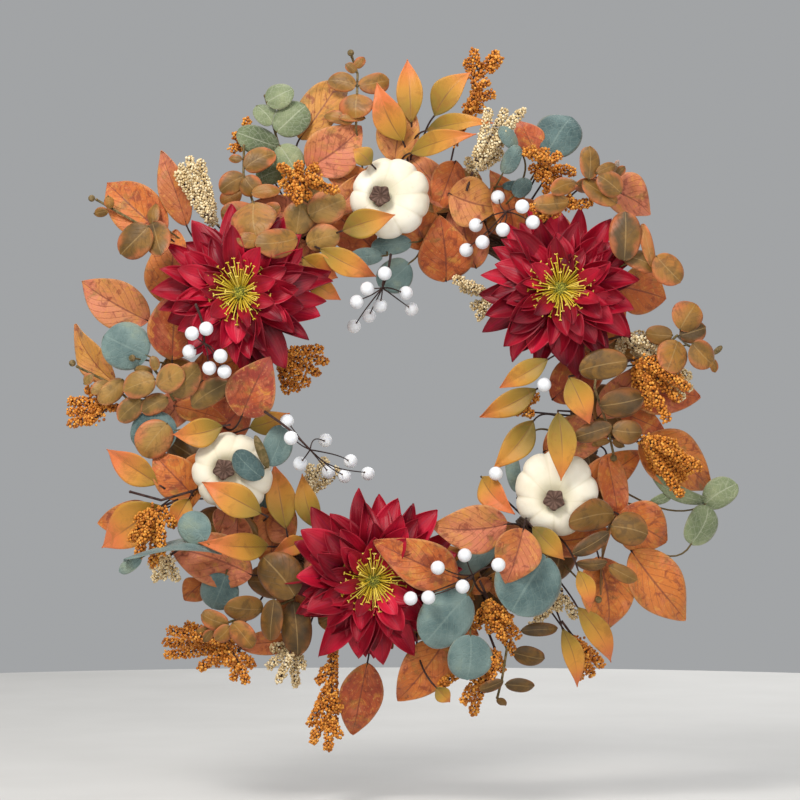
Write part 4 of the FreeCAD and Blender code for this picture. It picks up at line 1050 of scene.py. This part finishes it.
def add_calyx(name, flower):
    """The CAD's own calyx with a ring of sepals."""
    centre, axis, side, up = flower
    green = Piece(name + "_calyx_detail")
    for solid in islands(name + "_calyx"):
        green.solid(solid, 0)
    s, t = grid(np.linspace(0, 1, 8), 5)
    wide = 3.6 * MM * np.sin(math.pi * (0.12 + 0.86 * s)) ** 0.8
    for i in range(SEPALS):
        out = spoke(TURN * i / SEPALS, side, up)
        cross = np.cross(axis, out)
        points = centre + (3 * MM + s * 16 * MM)[..., None] * out + (t * wide)[..., None] * cross
        points = points + (-6 * MM + 5 * MM * s**0.6 - 0.4 * MM * t * t)[..., None] * axis
        green.sheet(points, s, t, 0.4, 0.5 * MM)
    green.finish(name + "_calyx", [CALYX])


def dahlia(name):
    dice = random.Random(name)
    widest = max(islands(name + "_outer_petals"), key=lambda solid: np.ptp(solid[0][:, 0]))
    centres, _, areas = facets(widest)
    centre, axes, _ = principal(centres, areas)
    axis = facing(axes[2])
    calyx = np.concatenate([places for places, _ in islands(name + "_calyx")])
    back = ((calyx - centre) @ axis).min()
    middle = calyx.mean(0)
    centre = middle + axis * ((centre - middle) @ axis)
    centre = centre + axis * (back + SEAT)
    reach = np.linalg.norm(widest[0] - centre, axis=1).max()
    flower = (centre, axis, *square_to(axis, [0, 0, 1.0]))
    add_petals(name, flower, reach, dice)
    add_stamens(name, flower, dice)
    add_calyx(name, flower)


for name in sorted(NODES):
    if name.endswith("_stamens"):
        dahlia(name.removesuffix("_stamens"))


# ---------------- pumpkins

RIBS = 9
STEM_FULLNESS = 1.12  # the stem's corners are rounded, so it is a little wider than its box to look as wide
# height of each ring of the stem as a share of all, and its width as a share of the foot's
STEM_RINGS = (
    (0.0, 1.02), (0.12, 0.92), (0.35, 0.80), (0.6, 0.80), (0.8, 0.88),
    (0.93, 0.97), (1.0, 0.93), (1.0, 0.70), (0.97, 0.30),
)
STEM_SIDES = 40


def pumpkin_body(name, chance):
    """Ribbed foam with a dip at each pole, the front one drawn to the foot of the stem."""
    low, high = box_of(name + "_body")
    centre = (low + high) / 2
    radius = (high[0] - low[0]) / 2
    depth = (high[1] - low[1]) / 2
    stem_low, stem_high = box_of(name + "_stem")
    offset = ((stem_low + stem_high) / 2 - centre) * np.array([1, 0, 1])
    rings, sides = 60, 216
    tilt = np.linspace(0.02, math.pi - 0.02, rings)
    turn = angles(sides)
    t, u = np.meshgrid(tilt, turn, indexing="ij")
    valley = np.abs(np.sin(u * RIBS / 2 + chance + 0.12 * np.sin(2 * u)))
    groove = 0.075 * (1 - valley) ** 1.7 * np.sin(t) ** 0.6
    uneven = 1 + 0.02 * np.sin(2 * u + chance) + 0.012 * np.sin(5 * u + 2 * chance)
    reach = radius * (1 - groove) * uneven * np.abs(np.sin(t)) ** 0.72 * 0.985
    height = depth * np.sign(np.cos(t)) * np.abs(np.cos(t)) ** 0.85
    height = height - np.sign(np.cos(t)) * depth * 0.42 * np.exp(-((reach / (0.34 * radius)) ** 2))
    pull = (np.exp(-((reach / (0.6 * radius)) ** 2)) * (np.cos(t) > 0))[..., None] * offset
    points = centre + pull
    points = points + np.stack([reach * np.cos(u), -height, reach * np.sin(u)], axis=-1)
    marks = np.stack([t / math.pi, valley, np.full_like(t, 0.5)], axis=-1)
    body = Piece(name + "_foam")
    body.add(points, marks, ring_faces(rings, sides))
    body.finish(name + "_body", [CREAM])


def pumpkin_stem(name, chance):
    """A five-sided stem that flares to its foot and ends in a cut, uneven face."""
    low, high = box_of(name + "_stem")
    middle = (low + high) / 2
    size = (high[2] - low[2]) / 2 * STEM_FULLNESS
    tall = high[1] - low[1]
    turn = angles(STEM_SIDES)
    rings = []
    marks = []
    for level, wide in STEM_RINGS:
        point = math.pi + 0.25 * level
        corner = np.abs(((turn - point) / (TURN / 5) + 0.5) % 1 - 0.5) * 2
        reach = size * wide * (0.78 + 0.22 * (1 - corner) ** 1.3 + 0.02 * np.sin(turn * 3 + chance))
        forward = np.full(STEM_SIDES, high[1] - level * tall) + 0.4 * MM * np.sin(turn * 2 + level)
        rings.append(
            np.column_stack([middle[0] + reach * np.cos(turn), forward, middle[2] + reach * np.sin(turn)])
        )
        shares = np.full(STEM_SIDES, level)
        marks.append(np.column_stack([shares, turn / math.pi - 1, np.full(STEM_SIDES, 0.5)]))
    piece = Piece(name + "_stem_detail")
    piece.add(rings, marks, ring_faces(len(STEM_RINGS), STEM_SIDES))
    piece.finish(name + "_stem", [PUMPKIN_STEM])


for index, name in enumerate(sorted(NODES)):
    if name.endswith("_body"):
        pumpkin_body(name.removesuffix("_body"), index * 0.7)
        pumpkin_stem(name.removesuffix("_body"), index * 0.7)


# ---------------- berries

BERRY_LARGEST = 14 * MM
ROUNDNESS = 0.9  # the least share of a berry's size that its smallest side has
TWIG_NEAR = 1.0 * MM  # a twig's surface this near a berry belongs to its own twig
KNOT_NEAR = 4.4 * MM
KNOT_RADIUS = 1.3 * MM


def twig_root(places, balls):
    """Where the lines of the twigs meet: each twig ends beside its berry and points to the fork."""
    weights = np.zeros((3, 3))
    total = np.zeros(3)
    for centre, radius in balls:
        near = places[np.linalg.norm(places - centre, axis=1) < radius + TWIG_NEAR]
        if not len(near):
            continue
        aim = unit(near.mean(0) - centre)
        across = np.eye(3) - np.outer(aim, aim)
        weights += across
        total += across @ centre
    return np.linalg.solve(weights, total)


def add_twig(piece, start, end, radii, dice, steps=12):
    """A thin twig that bows a little on its way."""
    side = unit(np.cross(end - start, [dice.uniform(-1, 1), 0.4, dice.uniform(-1, 1)]))
    path = bowed(start, end, 0.07 * np.linalg.norm(end - start), side, steps)
    piece.tube(path, np.linspace(*radii, steps) * MM, 1, 7, dice.random())


def berry_piece(node):
    """The berries of one node on twigs from a fork, with a knot at the spray's foot."""
    piece = Piece(node + "_detail")
    dice = random.Random(node)
    balls = []
    stem = None
    for places, _ in islands(node):
        size = np.ptp(places, axis=0)
        if size.max() < BERRY_LARGEST and size.min() > ROUNDNESS * size.max():
            balls.append(((places.min(0) + places.max(0)) / 2, size.max() / 2))
        else:
            stem = places
    fork = None
    if stem is not None and len(balls) > 2:
        fork = twig_root(stem, balls)
        gaps = np.linalg.norm(stem[:, None] - np.array([centre for centre, _ in balls]), axis=2).min(1)
        knot = stem[np.argmax(gaps)]
        knot = stem[np.linalg.norm(stem - knot, axis=1) < KNOT_NEAR].mean(0)
        add_twig(piece, knot, fork, (1.2, 0.9), dice)
        piece.ball(knot, KNOT_RADIUS, 1, 0.4)
    for index, (centre, radius) in enumerate(balls):
        back = -FACE if fork is None else unit(fork - centre)
        if fork is not None:
            add_twig(piece, fork, centre + back * (radius - 0.5 * MM), (0.65, 0.5), dice)
        piece.ball(centre, radius, 0, (index * 0.29) % 1, back, 14, 22, 0.05)
    piece.finish(node, [BERRY, TWIG])


for name in sorted(NODES):
    if SLOT_OF[name] == "berry_white":
        berry_piece(name)


# ---------------- grapevine ring

VINES = 7
WINDINGS = 4
KNOTS = 7  # on each vine
TENDRILS = 16
VINE_NODES = {"vine_core": range(1), "vines_front": range(1, 3), "vines_back": range(3, VINES)}


def wound(turn, off, wind):
    """Places round the ring, at a distance and an angle from the middle of its bundle."""
    radial = np.column_stack([np.cos(turn), np.zeros(len(turn)), np.sin(turn)])
    path = RING_CENTRE + (RING_MIDDLE + off * np.cos(wind))[:, None] * radial
    return path + np.outer(off * np.sin(wind), FACE)


def add_vine(piece, i, pitch, dice):
    """One vine with knots on it. The first runs straight and the others wind round it."""
    turn = angles(360)
    share = 0.0 if i == 0 else 0.97
    phase = TURN * i / (VINES - 1)
    wind = phase + WINDINGS * turn + 0.25 * np.sin(3 * turn + i)
    off = pitch * (share + 0.05 * np.sin(5 * turn + 2 * i) + 0.03 * np.sin(11 * turn + i))
    size = VINE_RADIUS * (0.90 + 0.10 * np.sin(7 * turn + i) + 0.05 * np.sin(23 * turn + 3 * i))
    for _ in range(KNOTS):
        knot = dice.uniform(0, TURN)
        gap = np.abs((turn - knot + math.pi) % TURN - math.pi)
        size = size * (1 + 0.22 * np.exp(-((gap / 0.022) ** 2)))
    piece.tube(wound(turn, off, wind), size, 0, 12, dice.random(), True)


def add_tendrils(piece, reach, dice, steps=40):
    """Thin shoots that wander over the bundle."""
    for _ in range(TENDRILS):
        start = dice.uniform(0, TURN)
        span = dice.uniform(0.25, 0.6)
        turn = np.linspace(start, start + span, steps)
        wind = dice.uniform(0, 6) + np.linspace(0, dice.choice((-1, 1)) * dice.uniform(3, 8), steps)
        off = reach * (1.03 + 0.06 * np.sin(np.linspace(0, 9, steps)))
        piece.tube(wound(turn, off, wind), np.linspace(1.3, 0.5, steps) * MM, 0, 7, dice.random())


def vine_ring():
    low, high = box_of("vines_back")
    pitch = (high[0] - low[0]) / 2 - VINE_RADIUS - RING_MIDDLE
    dice = random.Random("vines")
    for node, members in VINE_NODES.items():
        piece = Piece(node + "_detail")
        for i in members:
            add_vine(piece, i, pitch, dice)
        if node == "vines_back":
            add_tendrils(piece, pitch + VINE_RADIUS, dice)
        piece.finish(node, [VINE])


def ties():
    """Each tie is a thin shoot wound three times round the bundle."""
    piece = Piece("binding_ties_detail")
    for index, solid in enumerate(islands("binding_ties")):
        places, _ = solid
        centres, _, areas = facets(solid)
        centre, axes, _ = principal(centres, areas)
        axis, side = axes[2], axes[0]
        up = np.cross(axis, side)
        reach = np.linalg.norm(places - centre, axis=1).max() - 1.2 * MM
        turns = np.linspace(0, 3 * TURN, 120)
        path = centre + circle(turns, side, up, reach)
        path = path + np.outer((turns / turns[-1] - 0.5) * 6.5 * MM + 0.5 * MM * np.sin(5 * turns), axis)
        piece.tube(path, 1.15 * MM, 0, 8, (index * 0.31) % 1)
    piece.finish("binding_ties", [VINE])


vine_ring()
ties()
for name in ("hanging_loop", "hanging_staple"):
    for material_slot in NODES[name].material_slots:
        material_slot.material = WIRE


# ---------------- camera, lights and floor

AIM = Vector(RING_CENTRE)
CAMERA_AWAY = 3.0
VIEW_WIDTH = 0.688  # at the depth of OBJECT_FRONT
SENSOR = 36.0
OBJECT_FRONT = -0.06
FLOOR_BELOW = 0.352
FLOOR_RADIUS = 1.5


def add_camera():
    data = bpy.data.cameras.new("camera")
    data.sensor_width = SENSOR
    data.lens = SENSOR * (CAMERA_AWAY + OBJECT_FRONT) / VIEW_WIDTH
    camera = bpy.data.objects.new("camera", data)
    camera.location = (AIM.x, -CAMERA_AWAY, AIM.z)
    camera.rotation_euler = (math.radians(90), 0, 0)
    bpy.context.scene.collection.objects.link(camera)
    bpy.context.scene.camera = camera


def add_light(name, place, size, power, colour=(1, 1, 1)):
    data = bpy.data.lights.new(name, "AREA")
    data.size = size
    data.energy = power
    data.color = colour
    light = bpy.data.objects.new(name, data)
    light.location = AIM + Vector(place)
    light.rotation_euler = (AIM - light.location).to_track_quat("-Z", "Y").to_euler()
    bpy.context.scene.collection.objects.link(light)


def add_floor():
    mesh = bpy.data.meshes.new("floor")
    build = bmesh.new()
    bmesh.ops.create_circle(build, cap_ends=True, segments=96, radius=FLOOR_RADIUS)
    build.to_mesh(mesh)
    build.free()
    floor = bpy.data.objects.new("floor", mesh)
    floor.location = (AIM.x, 0, AIM.z - FLOOR_BELOW)
    paint = Paint("pale_floor", 0.7)
    paint.colour(paint.ramp(paint.noise(6.0), (0.3, (0.56, 0.55, 0.53)), (0.7, (0.60, 0.59, 0.57))))
    mesh.materials.append(paint.material)
    bpy.context.scene.collection.objects.link(floor)


def add_world():
    bpy.context.scene.view_settings.view_transform = "Standard"
    world = bpy.data.worlds.new("studio")
    world.use_nodes = True
    back = world.node_tree.nodes["Background"]
    back.inputs["Color"].default_value = (0.86, 0.88, 0.90, 1)
    back.inputs["Strength"].default_value = 0.42
    bpy.context.scene.world = world


add_camera()
add_world()
add_floor()
add_light("key", (-0.9, -1.7, 1.7), 0.8, 52, (1.0, 0.98, 0.95))
add_light("fill", (1.4, -1.6, 0.4), 1.4, 8, (0.96, 0.98, 1.0))
add_light("front", (0.4, -2.4, 0.5), 1.6, 16, (1.0, 0.99, 0.97))
add_light("top", (0.1, 0.4, 1.8), 1.2, 14)
add_light("back", (0.6, 1.8, 0.6), 1.4, 10)
